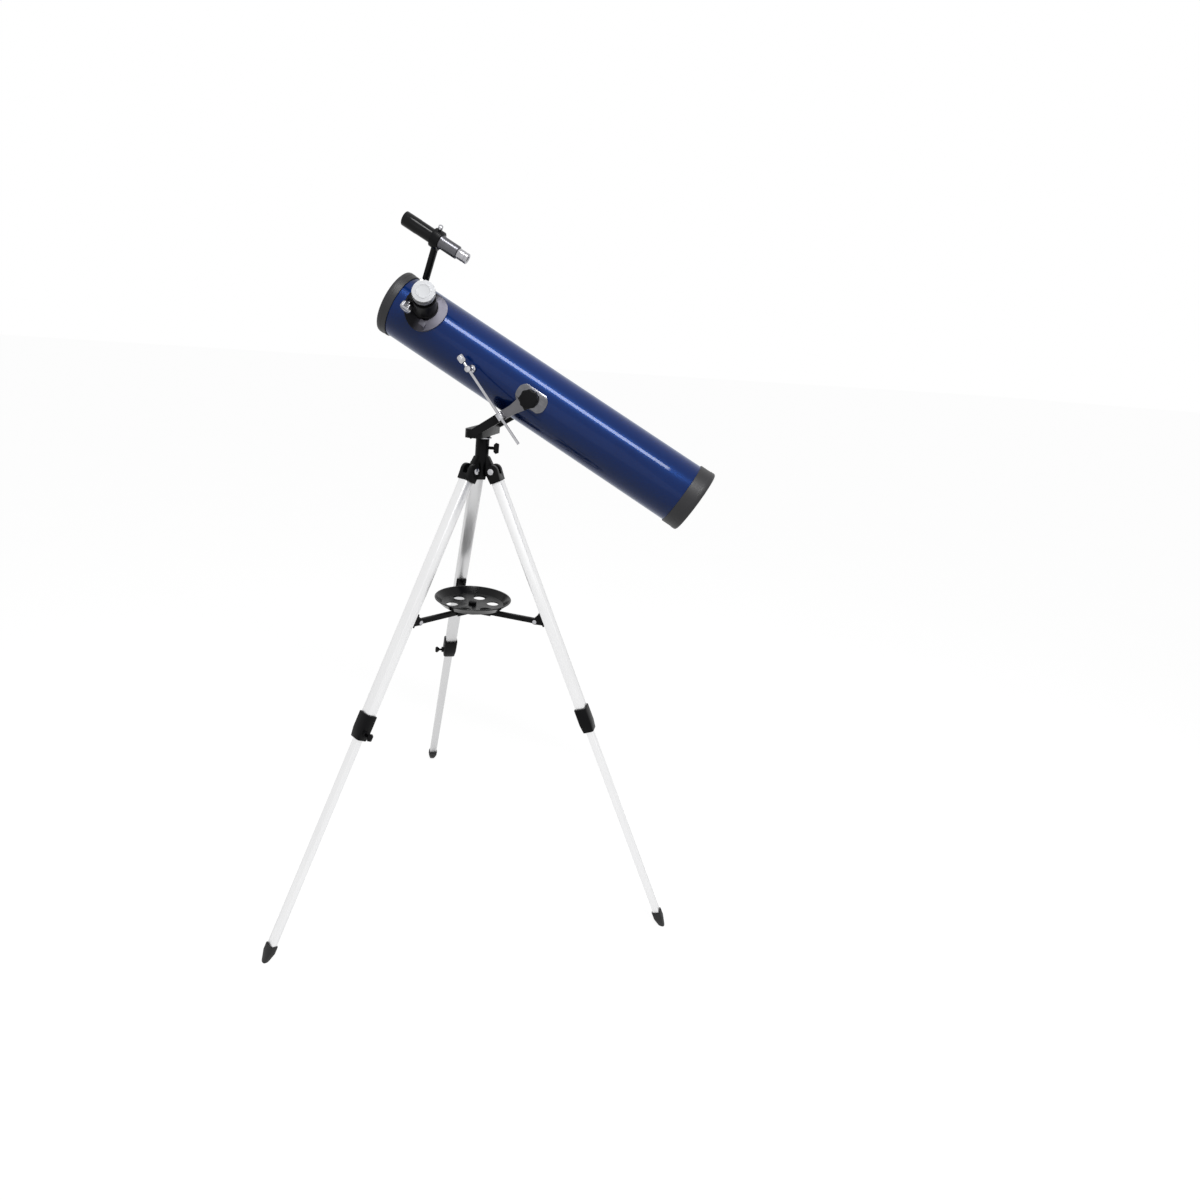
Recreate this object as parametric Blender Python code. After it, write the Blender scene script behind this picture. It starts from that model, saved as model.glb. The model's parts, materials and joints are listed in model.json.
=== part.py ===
"""Newtonian reflector telescope on an alt-azimuth yoke and an aluminium tripod.

Metres, +Z up. The origin lies on the floor at the centre of the three feet's box. The open end of the tube
points up and to the left, away from -Y. The legs stand at -150, -30 and 90 degrees about the azimuth axis.
"""

from math import asin, atan2, cos, hypot, pi, radians, sin, sqrt, tan

import bmesh
import bpy
from mathutils import Matrix, Vector

GAP = 0.0003            # between pieces that touch
RUNNING = 0.0004        # between a shaft or slide and its hole

# Tripod
LEG_AZIMUTHS = {"left": radians(-150), "right": radians(-30), "back": radians(90)}
LEG_SPLAY = radians(25.8)
FOOT_RADIUS = 0.468     # azimuth axis to where a leg's axis meets the floor
HINGE_RADIUS = 0.026
UPPER_LEG_WIDTH = 0.025
UPPER_LEG_DEPTH = 0.020
LOWER_LEG_WIDTH = 0.0185
LOWER_LEG_DEPTH = 0.0135
LEG_WALL = 0.0013
UPPER_LEG_END = 0.529   # hinge to the upper leg's lower end, along the leg
CLAMP_LENGTH = 0.051
CLAMP_WALL = 0.0025
CLAMP_SEAT = 0.026      # how far the clamp reaches up over the upper leg
LEG_OVERLAP = 0.070     # lower leg inside the upper leg
FOOT_LENGTH = 0.040
BRACKET_WIDTH = 0.031
BRACKET_DEPTH = 0.025
BRACKET_DROP = 0.022
BRACKET_PLUG = 0.020
TONGUE_THICKNESS = 0.012
BOLT_RADIUS = 0.003
BOLT_HEAD_RADIUS = 0.006
BOLT_HEAD = 0.004
COLUMN_RADIUS = 0.013
COLUMN_RISE = 0.059     # column's top above the leg hinges
COLUMN_DROP = 0.012
LOCK_AZIMUTH = radians(-16)
LOCK_DROP = 0.017       # below the column's top
LOCK_SCREW_RADIUS = 0.003
LOCK_KNOB_RADIUS = 0.0105

# Spreader and tray
BRACE_DISTANCE = 0.3055
BRACE_OFFSET = 0.027
BRACE_RISE = 0.0015     # how much higher the arm's inner pin is than its outer one
ARM_THICKNESS = 0.008
ARM_HEIGHT = 0.010
ARM_PIN_RADIUS = 0.0025
SPREADER_PIN_RADIUS = 0.032
SPREADER_BOSS_RADIUS = 0.016
CHEEK_THICKNESS = 0.0025
CHEEK_RISE = 0.009
TRAY_RIM_RADIUS = 0.078
TRAY_FLOOR_RADIUS = 0.060
TRAY_DEPTH = 0.0155
TRAY_WALL = 0.002
TRAY_HOLE_RADIUS = 0.012
TRAY_HOLE_PITCH = 0.042
TRAY_HOLES = 6
TRAY_SCREW_RADIUS = 0.003

# Yoke
AXIS_AZIMUTH = radians(153.4)   # where the open end points
ELEVATION = radians(27.9)
PIVOT_BACK = 0.100              # altitude pivot behind the azimuth axis
PIVOT_RISE = 0.0827             # altitude pivot above the column's top
SPINDLE_RADIUS = 0.006
SPINDLE_DEPTH = 0.045
YOKE_BASE_THICKNESS = 0.016
YOKE_BASE_DEPTH = 0.034
YOKE_BOSS_RADIUS = 0.0145
YOKE_BOSS_HEIGHT = 0.006
ARM_CLEARANCE = 0.0062          # tube's surface to an arm's inner face
YOKE_ARM_THICKNESS = 0.009
YOKE_ARM_WIDTH = 0.017
YOKE_EYE_RADIUS = 0.0155
PIVOT_PIN_RADIUS = 0.003
ALTITUDE_KNOB_RADIUS = 0.0175
ALTITUDE_KNOB_DEPTH = 0.013
KNOB_COLLAR = 0.005

# Slow-motion rod, in the tube's frame
STUD_FORWARD = 0.119
STUD_DROP = 0.0144
SWIVEL_ALONG_ARM = 0.059        # altitude pivot to the swivel on the near arm
ROD_CLEARANCE = 0.0085          # arm's outer face to the rod's axis
ROD_RADIUS = 0.0025
ROD_TAIL = 0.058                # rod past the swivel
ROD_HEAD = 0.009                # rod past the stud, up to its knob
ROD_KNOB_RADIUS = 0.0065
ROD_KNOB_LENGTH = 0.014
STUD_RADIUS = 0.003
STUD_EYE_RADIUS = 0.0055
STUD_FOOT_RADIUS = 0.007
STUD_FOOT_RISE = 0.004

# Tube
TUBE_RADIUS = 0.0563
TUBE_WALL = 0.0012
TUBE_SIDES = 48
TUBE_FRONT = 0.323              # altitude pivot to the front ring's face
TUBE_REAR = 0.342
RING_WALL = 0.0024
RING_LIP = 0.0035
FRONT_RING_LENGTH = 0.019
REAR_RING_LENGTH = 0.0295
FRONT_LIP = 0.0028              # tube's surface in to the front lip's edge
REAR_LIP = 0.0063
CRADLE_LENGTH = 0.060
CRADLE_WIDTH = 0.034
CRADLE_THICKNESS = 0.002
CRADLE_BOSS_RADIUS = 0.011

# Optics
MIRROR_DIAMETER = 0.076
MIRROR_THICKNESS = 0.009
CELL_PLATE = 0.009
CELL_WALL = 0.0035
CELL_LIP = 0.006
COLLIMATION_RADIUS = 0.038
COLLIMATION_HEAD = 0.004
SECONDARY_RADIUS = 0.010
SECONDARY_THICKNESS = 0.003
SPIDER_HUB_RADIUS = 0.0095
SPIDER_HUB_LENGTH = 0.016
SPIDER_AHEAD = 0.024            # secondary's centre to the middle of the vanes
VANE_THICKNESS = 0.0012
VANE_WIDTH = 0.012
VANES = 3

# Focuser, which stands out at FOCUSER_TILT above the near side
FOCUSER_FORWARD = 0.248
FOCUSER_TILT = radians(29)
FLANGE_RADIUS = 0.039
FLANGE_THICKNESS = 0.0025
FOCUSER_WALL = 0.004
FOCUSER_TAPER = 0.001
FOCUSER_RISE = 0.0377           # focuser's top above the tube's surface
DRAWTUBE_RADIUS = 0.0175
DRAWTUBE_WALL = 0.0015
DRAWTUBE_INTRUSION = 0.0063      # drawtube's inner end inside the tube's surface
DRAWTUBE_RISE = 0.0165           # drawtube's outer end above the focuser's top
CAP_WALL = 0.0027
CAP_SKIRT = 0.008
CAP_TOP = 0.003
PINION_RADIUS = 0.003
PINION_DROP = 0.020
PINION_OFFSET = 0.005
PINION_BLOCK_HALF = 0.012
FOCUS_KNOB_RADIUS = 0.0105
FOCUS_KNOB_LENGTH = 0.011
FOCUS_SHAFT_HALF = 0.0235

# Finder
FINDER_TILT = radians(62)
FINDER_RISE = 0.0962            # finder's axis above the tube's surface
FINDER_FRONT = 0.345
FINDER_SHOULDER = 0.277
FINDER_REAR = 0.234
FINDER_EYE_END = 0.214
FINDER_FRONT_RADIUS = 0.0122
FINDER_WAIST_RADIUS = 0.0108
FINDER_EYE_RADIUS = 0.0068
FINDER_CUP_RADIUS = 0.0088
FINDER_RECESS = 0.006
POST_FORWARD = 0.277
POST_WIDTH = 0.010
POST_LENGTH = 0.012
FINDER_RING_WALL = 0.0035
FINDER_RING_LENGTH = 0.016
FINDER_SCREW_RADIUS = 0.0022

# Worked out from the values above
HINGE_HEIGHT = (FOOT_RADIUS - HINGE_RADIUS) / tan(LEG_SPLAY)
LEG_LENGTH = (FOOT_RADIUS - HINGE_RADIUS) / sin(LEG_SPLAY)
AXIS_Y = -FOOT_RADIUS / 4       # puts the origin at the middle of the three feet
COLUMN_TOP = HINGE_HEIGHT + COLUMN_RISE
LOCK_HEIGHT = COLUMN_TOP - LOCK_DROP
YOKE_BASE_BOTTOM = COLUMN_TOP + GAP + YOKE_BOSS_HEIGHT
PIVOT_HEIGHT = COLUMN_TOP + PIVOT_RISE
ARM_GAP = TUBE_RADIUS + ARM_CLEARANCE
ROD_STANDOFF = ARM_GAP + YOKE_ARM_THICKNESS + ROD_CLEARANCE
RING_RADIUS = TUBE_RADIUS + GAP + RING_WALL
FRONT_LIP_RADIUS = TUBE_RADIUS - FRONT_LIP
REAR_LIP_RADIUS = TUBE_RADIUS - REAR_LIP
FOCUSER_TOP = TUBE_RADIUS + FOCUSER_RISE
PINION_HEIGHT = FOCUSER_TOP - PINION_DROP
PINION_AHEAD = DRAWTUBE_RADIUS + PINION_OFFSET
DRAWTUBE_INNER_END = TUBE_RADIUS - DRAWTUBE_INTRUSION
DRAWTUBE_OUTER_END = FOCUSER_TOP + DRAWTUBE_RISE
FOCUSER_ROOT_RADIUS = DRAWTUBE_RADIUS + FOCUSER_WALL
FOCUSER_TOP_RADIUS = FOCUSER_ROOT_RADIUS - FOCUSER_TAPER
CAP_RADIUS = DRAWTUBE_RADIUS + GAP + CAP_WALL
FINDER_HEIGHT = TUBE_RADIUS + FINDER_RISE
MIRROR_RADIUS = MIRROR_DIAMETER / 2
BRACE_PIN_RADIUS_OUT = HINGE_RADIUS + BRACE_DISTANCE * sin(LEG_SPLAY) - BRACE_OFFSET * cos(LEG_SPLAY)
BRACE_PIN_HEIGHT = HINGE_HEIGHT - BRACE_DISTANCE * cos(LEG_SPLAY) - BRACE_OFFSET * sin(LEG_SPLAY)
SPREADER_HEIGHT = BRACE_PIN_HEIGHT + BRACE_RISE
TRAY_BOTTOM = SPREADER_HEIGHT + CHEEK_RISE + GAP
ARM_TILT = atan2(PIVOT_HEIGHT - YOKE_BASE_BOTTOM - YOKE_BASE_THICKNESS / 2, PIVOT_BACK)
TUBE_BORE = TUBE_RADIUS - TUBE_WALL
FINDER_BORE = FINDER_FRONT_RADIUS + GAP
CELL_BACK = -TUBE_REAR + RING_LIP + GAP

FINISHES = {
    "blue_enamel": ((0.01, 0.05, 0.24), 0.0, 0.12),
    "black_plastic": ((0.02, 0.02, 0.022), 0.0, 0.4),
    "grey_plastic": ((0.35, 0.35, 0.38), 0.0, 0.3),
    "aluminium": ((0.80, 0.80, 0.81), 1.0, 0.35),
    "chrome": ((0.85, 0.85, 0.86), 1.0, 0.12),
    "rubber": ((0.02, 0.02, 0.02), 0.0, 0.7),
    "mirror_glass": ((0.9, 0.9, 0.92), 1.0, 0.02),
    "white_plastic": ((0.88, 0.88, 0.87), 0.0, 0.35),
    "matt_black": ((0.01, 0.01, 0.01), 0.0, 0.8),
}


def clear_scene():
    for old in list(bpy.data.objects):
        bpy.data.objects.remove(old, do_unlink=True)


def finish_named(name):
    """A Principled material of this name, made once."""
    if name in bpy.data.materials:
        return bpy.data.materials[name]
    colour, metallic, roughness = FINISHES[name]
    material = bpy.data.materials.new(name)
    material.use_nodes = True
    shader = material.node_tree.nodes["Principled BSDF"]
    shader.inputs["Base Color"].default_value = (*colour, 1.0)
    shader.inputs["Metallic"].default_value = metallic
    shader.inputs["Roughness"].default_value = roughness
    return material


def empty(name, parent=None, location=(0, 0, 0), rotation=(0, 0, 0)):
    frame = bpy.data.objects.new(name, None)
    bpy.context.collection.objects.link(frame)
    frame.parent = parent
    frame.location = location
    frame.rotation_euler = rotation
    return frame


TURNS = {
    "Z": lambda p: Vector((p[0], p[1], p[2])),
    "X": lambda p: Vector((p[2], p[0], p[1])),
    "Y": lambda p: Vector((p[1], p[2], p[0])),
}


def skin(name, loops, finish, parent, location=(0, 0, 0), rotation=(0, 0, 0), ringed=False):
    """A solid bridged through loops of equal count; ringed joins the last to the first, else both are capped."""
    shape = bmesh.new()
    rows = [[shape.verts.new(point) for point in loop] for loop in loops]
    pairs = list(zip(rows, rows[1:]))
    if ringed:
        pairs.append((rows[-1], rows[0]))
    else:
        shape.faces.new(list(reversed(rows[0])))
        shape.faces.new(rows[-1])
    count = len(rows[0])
    for low, high in pairs:
        for i in range(count):
            j = (i + 1) % count
            shape.faces.new((low[i], low[j], high[j], high[i]))
    bmesh.ops.recalc_face_normals(shape, faces=shape.faces)
    mesh = bpy.data.meshes.new(name)
    shape.to_mesh(mesh)
    shape.free()
    mesh.materials.append(finish_named(finish))
    solid = bpy.data.objects.new(name, mesh)
    bpy.context.collection.objects.link(solid)
    solid.parent = parent
    solid.location = location
    solid.rotation_euler = rotation
    mesh.shade_smooth()
    mesh.set_sharp_from_angle(angle=radians(35))
    return solid


def circle(radius, level, count, centre=(0, 0)):
    steps = [2 * pi * i / count for i in range(count)]
    return [(centre[0] + radius * cos(t), centre[1] + radius * sin(t), level) for t in steps]


def turned(name, profile, finish, parent, axis="Z", count=24, ringed=False, **place):
    """A solid of revolution from (radius, level) pairs along the axis."""
    loops = [[TURNS[axis](p) for p in circle(radius, level, count)] for radius, level in profile]
    return skin(name, loops, finish, parent, ringed=ringed, **place)


def prism(name, outline, low, high, finish, parent, axis="Z", **place):
    """An outline drawn across the axis, carried from low to high along it."""
    loops = [[TURNS[axis]((p, q, level)) for p, q in outline] for level in (low, high)]
    return skin(name, loops, finish, parent, **place)


def rectangle(width, depth, centre=(0, 0)):
    half = [(-1, -1), (1, -1), (1, 1), (-1, 1)]
    return [(centre[0] + i * width / 2, centre[1] + j * depth / 2) for i, j in half]


def rounded(width, depth, corner, steps=3):
    """A rectangle with round corners, anticlockwise."""
    points = []
    for k, (i, j) in enumerate([(1, 1), (-1, 1), (-1, -1), (1, -1)]):
        for n in range(steps + 1):
            t = (k + n / steps) * pi / 2
            points.append((i * (width / 2 - corner) + corner * cos(t), j * (depth / 2 - corner) + corner * sin(t)))
    return points


def arc(centre, radius, start, end, steps):
    turns = [start + (end - start) * i / steps for i in range(steps + 1)]
    return [(centre[0] + radius * cos(t), centre[1] + radius * sin(t)) for t in turns]


def at_level(outline, level):
    return [(p, q, level) for p, q in outline]


def boolean(target, tool, operation):
    change = target.modifiers.new(tool.name, "BOOLEAN")
    change.operation = operation
    change.object = tool
    change.solver = "EXACT"
    tool.hide_render = True
    tool.display_type = "WIRE"
    return target


def cut(target, tool):
    return boolean(target, tool, "DIFFERENCE")


def join(target, tool):
    return boolean(target, tool, "UNION")


def bore(target, name, radius, low, high, parent, axis="Z", count=16, **place):
    return cut(target, turned(name, [(radius, low), (radius, high)], "chrome", parent, axis, count, **place))


def lobed(radius, depth, lobes, level, count=24):
    """A grip outline with shallow flutes."""
    points = []
    for i in range(count):
        t = 2 * pi * i / count
        reach = radius - depth * (1 + cos(lobes * t)) / 2
        points.append((reach * cos(t), reach * sin(t), level))
    return points


def make_hub(stand):
    """Column, with a tongue for each leg's bracket and a bore for the azimuth spindle."""
    bottom = HINGE_HEIGHT - COLUMN_DROP
    column = [(COLUMN_RADIUS, bottom), (COLUMN_RADIUS, COLUMN_TOP)]
    hub = turned("tripod_hub", column, "black_plastic", stand, count=32)
    eye = BRACKET_DEPTH / 2 - 0.005
    for side, azimuth in LEG_AZIMUTHS.items():
        outline = [(0.0, bottom), (HINGE_RADIUS - eye, HINGE_HEIGHT - eye)]
        outline += arc((HINGE_RADIUS, HINGE_HEIGHT), eye, -pi / 2, pi / 2, 8)
        outline += [(COLUMN_RADIUS + 0.002, HINGE_HEIGHT + 0.026), (0.0, HINGE_HEIGHT + 0.030)]
        drawn = [(level, out) for out, level in outline]
        tongue = prism(f"cut_tongue_{side}", drawn, -TONGUE_THICKNESS / 2, TONGUE_THICKNESS / 2,
                       "black_plastic", stand, "Y", rotation=(0, 0, azimuth))
        join(hub, tongue)
    for side, azimuth in LEG_AZIMUTHS.items():
        place = (HINGE_RADIUS * cos(azimuth), HINGE_RADIUS * sin(azimuth), HINGE_HEIGHT)
        bore(hub, f"cut_eye_{side}", BOLT_RADIUS + RUNNING, -TONGUE_THICKNESS, TONGUE_THICKNESS, stand, "Y",
             location=place, rotation=(0, 0, azimuth))
    depth = COLUMN_TOP - SPINDLE_DEPTH - 0.002
    bore(hub, "cut_spindle_bore", SPINDLE_RADIUS + RUNNING, depth, COLUMN_TOP + 0.01, stand, count=24)
    bore(hub, "cut_lock_bore", LOCK_SCREW_RADIUS + RUNNING, SPINDLE_RADIUS - 0.001, COLUMN_RADIUS + 0.01, stand,
         "X", location=(0, 0, LOCK_HEIGHT), rotation=(0, 0, LOCK_AZIMUTH))


def make_lock_knob(stand):
    """Screw that clamps the azimuth spindle, with a winged head."""
    frame = empty("lock_axis", stand, (0, 0, LOCK_HEIGHT), (0, 0, LOCK_AZIMUTH))
    start = SPINDLE_RADIUS + RUNNING
    neck = COLUMN_RADIUS + 0.009
    knob = turned("azimuth_lock_knob", [(LOCK_SCREW_RADIUS, start), (LOCK_SCREW_RADIUS, neck + 0.001)],
                  "black_plastic", frame, "X", 16)
    wing = skin("cut_lock_wing", [[TURNS["X"](p) for p in at_level(rounded(w, 2 * h, 0.002), level)]
                for w, h, level in ((0.006, 0.007, neck), (0.009, LOCK_KNOB_RADIUS, neck + 0.004),
                                    (0.007, LOCK_KNOB_RADIUS - 0.002, neck + 0.010))],
                "black_plastic", frame)
    join(knob, wing)


def make_leg(side, azimuth, stand):
    """One leg, in a frame at its hinge: X outward, Y along the hinge axis, Z up the leg."""
    place = (HINGE_RADIUS * cos(azimuth), HINGE_RADIUS * sin(azimuth), HINGE_HEIGHT)
    leg = empty(f"leg_axis_{side}", stand, place, (0, -LEG_SPLAY, azimuth))
    half_width = BRACKET_WIDTH / 2
    half_depth = BRACKET_DEPTH / 2

    side_view = [(-BRACKET_DROP, -half_depth + 0.002), (-BRACKET_DROP, half_depth - 0.002), (0.0, half_depth)]
    side_view += [(z, x) for x, z in arc((0, 0), half_depth, 0, pi, 10)[1:-1]]
    side_view += [(0.0, -half_depth)]
    bracket = prism(f"leg_bracket_{side}", side_view, -half_width, half_width, "black_plastic", leg, "Y")
    plug_width = UPPER_LEG_WIDTH - 2 * LEG_WALL - 2 * GAP
    plug_depth = UPPER_LEG_DEPTH - 2 * LEG_WALL - 2 * GAP
    plug = prism(f"cut_plug_{side}", rounded(plug_depth, plug_width, 0.002, 2), -BRACKET_DROP - BRACKET_PLUG,
                 -BRACKET_DROP + 0.004, "black_plastic", leg)
    join(bracket, plug)
    slot_half = TONGUE_THICKNESS / 2 + RUNNING
    slot = prism(f"cut_slot_{side}", rectangle(BRACKET_DEPTH * 2, 2 * slot_half), -half_depth + 0.003,
                 half_depth * 2, "black_plastic", leg)
    cut(bracket, slot)
    bore(bracket, f"cut_bolt_{side}", BOLT_RADIUS + GAP, -half_width * 2, half_width * 2, leg, "Y")

    end = half_width + GAP
    turned(f"hinge_bolt_{side}",
           [(BOLT_HEAD_RADIUS, -end - BOLT_HEAD), (BOLT_HEAD_RADIUS, -end), (BOLT_RADIUS, -end), (BOLT_RADIUS, end),
            (BOLT_HEAD_RADIUS, end), (BOLT_HEAD_RADIUS, end + BOLT_HEAD)],
           "chrome", leg, "Y", 12)

    make_hollow(f"upper_leg_{side}", UPPER_LEG_DEPTH, UPPER_LEG_WIDTH, -BRACKET_DROP - GAP, -UPPER_LEG_END, leg)
    clamp_bottom = UPPER_LEG_END + CLAMP_LENGTH - CLAMP_SEAT
    lower_top = UPPER_LEG_END - LEG_OVERLAP
    lower_end = LEG_LENGTH - FOOT_LENGTH * 0.5
    make_hollow(f"lower_leg_{side}", LOWER_LEG_DEPTH, LOWER_LEG_WIDTH, -lower_top, -lower_end, leg)
    make_clamp(side, clamp_bottom, leg)
    make_foot(side, lower_end, leg)
    make_brace_bracket(side, leg)


def make_hollow(name, depth, width, top, bottom, leg):
    outer = rounded(depth, width, 0.003, 2)
    inner = rounded(depth - 2 * LEG_WALL, width - 2 * LEG_WALL, 0.002, 2)
    loops = [at_level(outer, bottom), at_level(outer, top), at_level(inner, top), at_level(inner, bottom)]
    return skin(name, loops, "aluminium", leg, ringed=True)


def make_clamp(side, bottom, leg):
    """Collar over the upper leg's end that narrows to guide the lower leg, with a screw in a boss."""
    top = UPPER_LEG_END - CLAMP_SEAT
    step = UPPER_LEG_END + GAP
    out_depth = UPPER_LEG_DEPTH + 2 * (GAP + CLAMP_WALL)
    out_width = UPPER_LEG_WIDTH + 2 * (GAP + CLAMP_WALL)
    low_depth = LOWER_LEG_DEPTH + 2 * (RUNNING + CLAMP_WALL) + 0.003
    low_width = LOWER_LEG_WIDTH + 2 * (RUNNING + CLAMP_WALL) + 0.003
    wide = rounded(out_depth - 2 * CLAMP_WALL, out_width - 2 * CLAMP_WALL, 0.003, 2)
    narrow = rounded(LOWER_LEG_DEPTH + 2 * RUNNING, LOWER_LEG_WIDTH + 2 * RUNNING, 0.003, 2)
    loops = [at_level(rounded(low_depth, low_width, 0.004, 2), -bottom),
             at_level(rounded(out_depth, out_width, 0.004, 2), -step - 0.008),
             at_level(rounded(out_depth, out_width, 0.004, 2), -top),
             at_level(wide, -top), at_level(wide, -step), at_level(narrow, -step), at_level(narrow, -bottom)]
    collar = skin(f"leg_clamp_{side}", loops, "black_plastic", leg, ringed=True)
    face = out_width / 2
    height = -(step + 0.010)
    boss_end = face + 0.004
    inside = LOWER_LEG_WIDTH / 2 + RUNNING + 0.001
    boss = turned(f"cut_boss_{side}", [(0.0065, inside), (0.0065, boss_end)], "black_plastic", leg, "Y", 16,
                  location=(0, 0, height))
    join(collar, boss)
    bore(collar, f"cut_screw_hole_{side}", 0.0025 + GAP, 0.004, boss_end + 0.01, leg, "Y", location=(0, 0, height))
    neck = boss_end + 0.006
    screw = turned(f"clamp_screw_{side}", [(0.0025, LOWER_LEG_WIDTH / 2 + GAP), (0.0025, neck + 0.001)],
                   "black_plastic", leg, "Y", 12, location=(0, 0, height))
    wing = skin(f"cut_wing_{side}", [[TURNS["Y"](p) for p in at_level(rounded(2 * h, w, 0.002, 2), level)]
                for w, h, level in ((0.004, 0.005, neck), (0.009, 0.0075, neck + 0.005),
                                    (0.0075, 0.006, neck + 0.009))],
                "black_plastic", leg, location=(0, 0, height))
    join(screw, wing)


def make_foot(side, lower_end, leg):
    """Tapered rubber tip, cut level at the floor."""
    wide = rounded(LOWER_LEG_DEPTH + 0.006, LOWER_LEG_WIDTH + 0.004, 0.006, 2)
    slim = rounded(0.0117, 0.0133, 0.0045, 2)
    socket = rounded(LOWER_LEG_DEPTH + 2 * GAP, LOWER_LEG_WIDTH + 2 * GAP, 0.003, 2)
    top = lower_end - FOOT_LENGTH * 0.35
    sole = [(p, q, -LEG_LENGTH - p * tan(LEG_SPLAY)) for p, q in slim]
    loops = [sole, at_level(wide, -lower_end - GAP), at_level(wide, -top), at_level(socket, -top),
             at_level(socket, -lower_end - GAP)]
    skin(f"foot_tip_{side}", loops, "rubber", leg)


def make_brace_bracket(side, leg):
    """Clevis on the leg's inner face, with the pin that the brace arm turns on."""
    face = -UPPER_LEG_DEPTH / 2 - GAP
    gap_half = ARM_THICKNESS / 2 + RUNNING
    ear_half = gap_half + CHEEK_THICKNESS
    plate = prism(f"brace_bracket_{side}", rectangle(0.003, 0.022, (face - 0.0015, 0)), -BRACE_DISTANCE - 0.014,
                  -BRACE_DISTANCE + 0.014, "black_plastic", leg)
    outline = [(-BRACE_DISTANCE - 0.013, face - 0.001), (-BRACE_DISTANCE - 0.006, -BRACE_OFFSET)]
    turns = arc((-BRACE_DISTANCE, -BRACE_OFFSET), 0.006, pi, 2 * pi, 6)
    outline += [(p, q) for p, q in turns[1:]] + [(-BRACE_DISTANCE + 0.013, face - 0.001)]
    for sign in (-1, 1):
        ear = prism(f"cut_ear_{side}_{sign}", outline, min(sign * gap_half, sign * ear_half),
                    max(sign * gap_half, sign * ear_half), "black_plastic", leg, "Y")
        join(plate, ear)
    pin = turned(f"cut_pin_{side}", [(0.0042, -ear_half - 0.002), (0.0042, -ear_half + 0.0005),
                 (ARM_PIN_RADIUS, -ear_half + 0.0005), (ARM_PIN_RADIUS, ear_half - 0.0005),
                 (0.0042, ear_half - 0.0005), (0.0042, ear_half + 0.002)], "chrome", leg, "Y", 12,
                 location=(-BRACE_OFFSET, 0, -BRACE_DISTANCE))
    join(plate, pin)


def make_brace_arm(side, azimuth, stand):
    """Arm from the leg's clevis to the spreader; its inner end runs free between the cheeks."""
    reach = BRACE_PIN_RADIUS_OUT - SPREADER_PIN_RADIUS
    frame = empty(f"arm_axis_{side}", stand,
                  (BRACE_PIN_RADIUS_OUT * cos(azimuth), BRACE_PIN_RADIUS_OUT * sin(azimuth), BRACE_PIN_HEIGHT),
                  (0, asin(BRACE_RISE / reach), azimuth))
    half = ARM_HEIGHT / 2
    outline = arc((0, 0), half, 0, pi, 6) + arc((0, -reach), half, pi, 2 * pi, 6)
    arm = prism(f"brace_arm_{side}", outline, -ARM_THICKNESS / 2, ARM_THICKNESS / 2, "black_plastic", frame, "Y")
    bore(arm, f"cut_arm_pin_{side}", ARM_PIN_RADIUS + GAP, -ARM_THICKNESS, ARM_THICKNESS, frame, "Y", 12)


def make_spreader(stand):
    """Boss with a pair of cheeks for each arm, which carries the tray."""
    frame = empty("spreader_axis", stand, (0, 0, SPREADER_HEIGHT))
    hub = turned("spreader_hub", [(SPREADER_BOSS_RADIUS, -0.007), (SPREADER_BOSS_RADIUS, CHEEK_RISE)],
                 "black_plastic", frame)
    inner = ARM_THICKNESS / 2 + RUNNING
    for side, azimuth in LEG_AZIMUTHS.items():
        for sign in (-1, 1):
            middle = sign * (inner + CHEEK_THICKNESS / 2)
            cheek = prism(f"cut_cheek_{side}_{sign}",
                          rectangle(0.032, CHEEK_THICKNESS, (0.026, middle)), -0.0065, CHEEK_RISE - 0.0002,
                          "black_plastic", frame, rotation=(0, 0, azimuth))
            join(hub, cheek)
    bore(hub, "cut_tray_screw_hub", TRAY_SCREW_RADIUS + GAP, -0.02, 0.02, frame)

    level = TRAY_BOTTOM - SPREADER_HEIGHT
    profile = [(TRAY_FLOOR_RADIUS, level), (TRAY_RIM_RADIUS, level + TRAY_DEPTH),
               (TRAY_RIM_RADIUS - TRAY_WALL, level + TRAY_DEPTH),
               (TRAY_FLOOR_RADIUS - TRAY_WALL / 2, level + TRAY_WALL)]
    tray = turned("accessory_tray", profile, "black_plastic", frame, count=40)
    for i in range(TRAY_HOLES):
        t = 2 * pi * i / TRAY_HOLES
        bore(tray, f"cut_tray_hole_{i}", TRAY_HOLE_RADIUS, level - 0.01, level + 0.01, frame, count=20,
             location=(TRAY_HOLE_PITCH * cos(t), TRAY_HOLE_PITCH * sin(t), 0))
    bore(tray, "cut_tray_screw", TRAY_SCREW_RADIUS + GAP, level - 0.01, level + 0.01, frame)

    seat = level + TRAY_WALL + GAP
    turned("tray_screw", [(TRAY_SCREW_RADIUS, -0.010), (TRAY_SCREW_RADIUS, seat), (0.008, seat),
                          (0.0085, seat + 0.004), (0.005, seat + 0.0055)],
           "black_plastic", frame, count=20)


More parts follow.
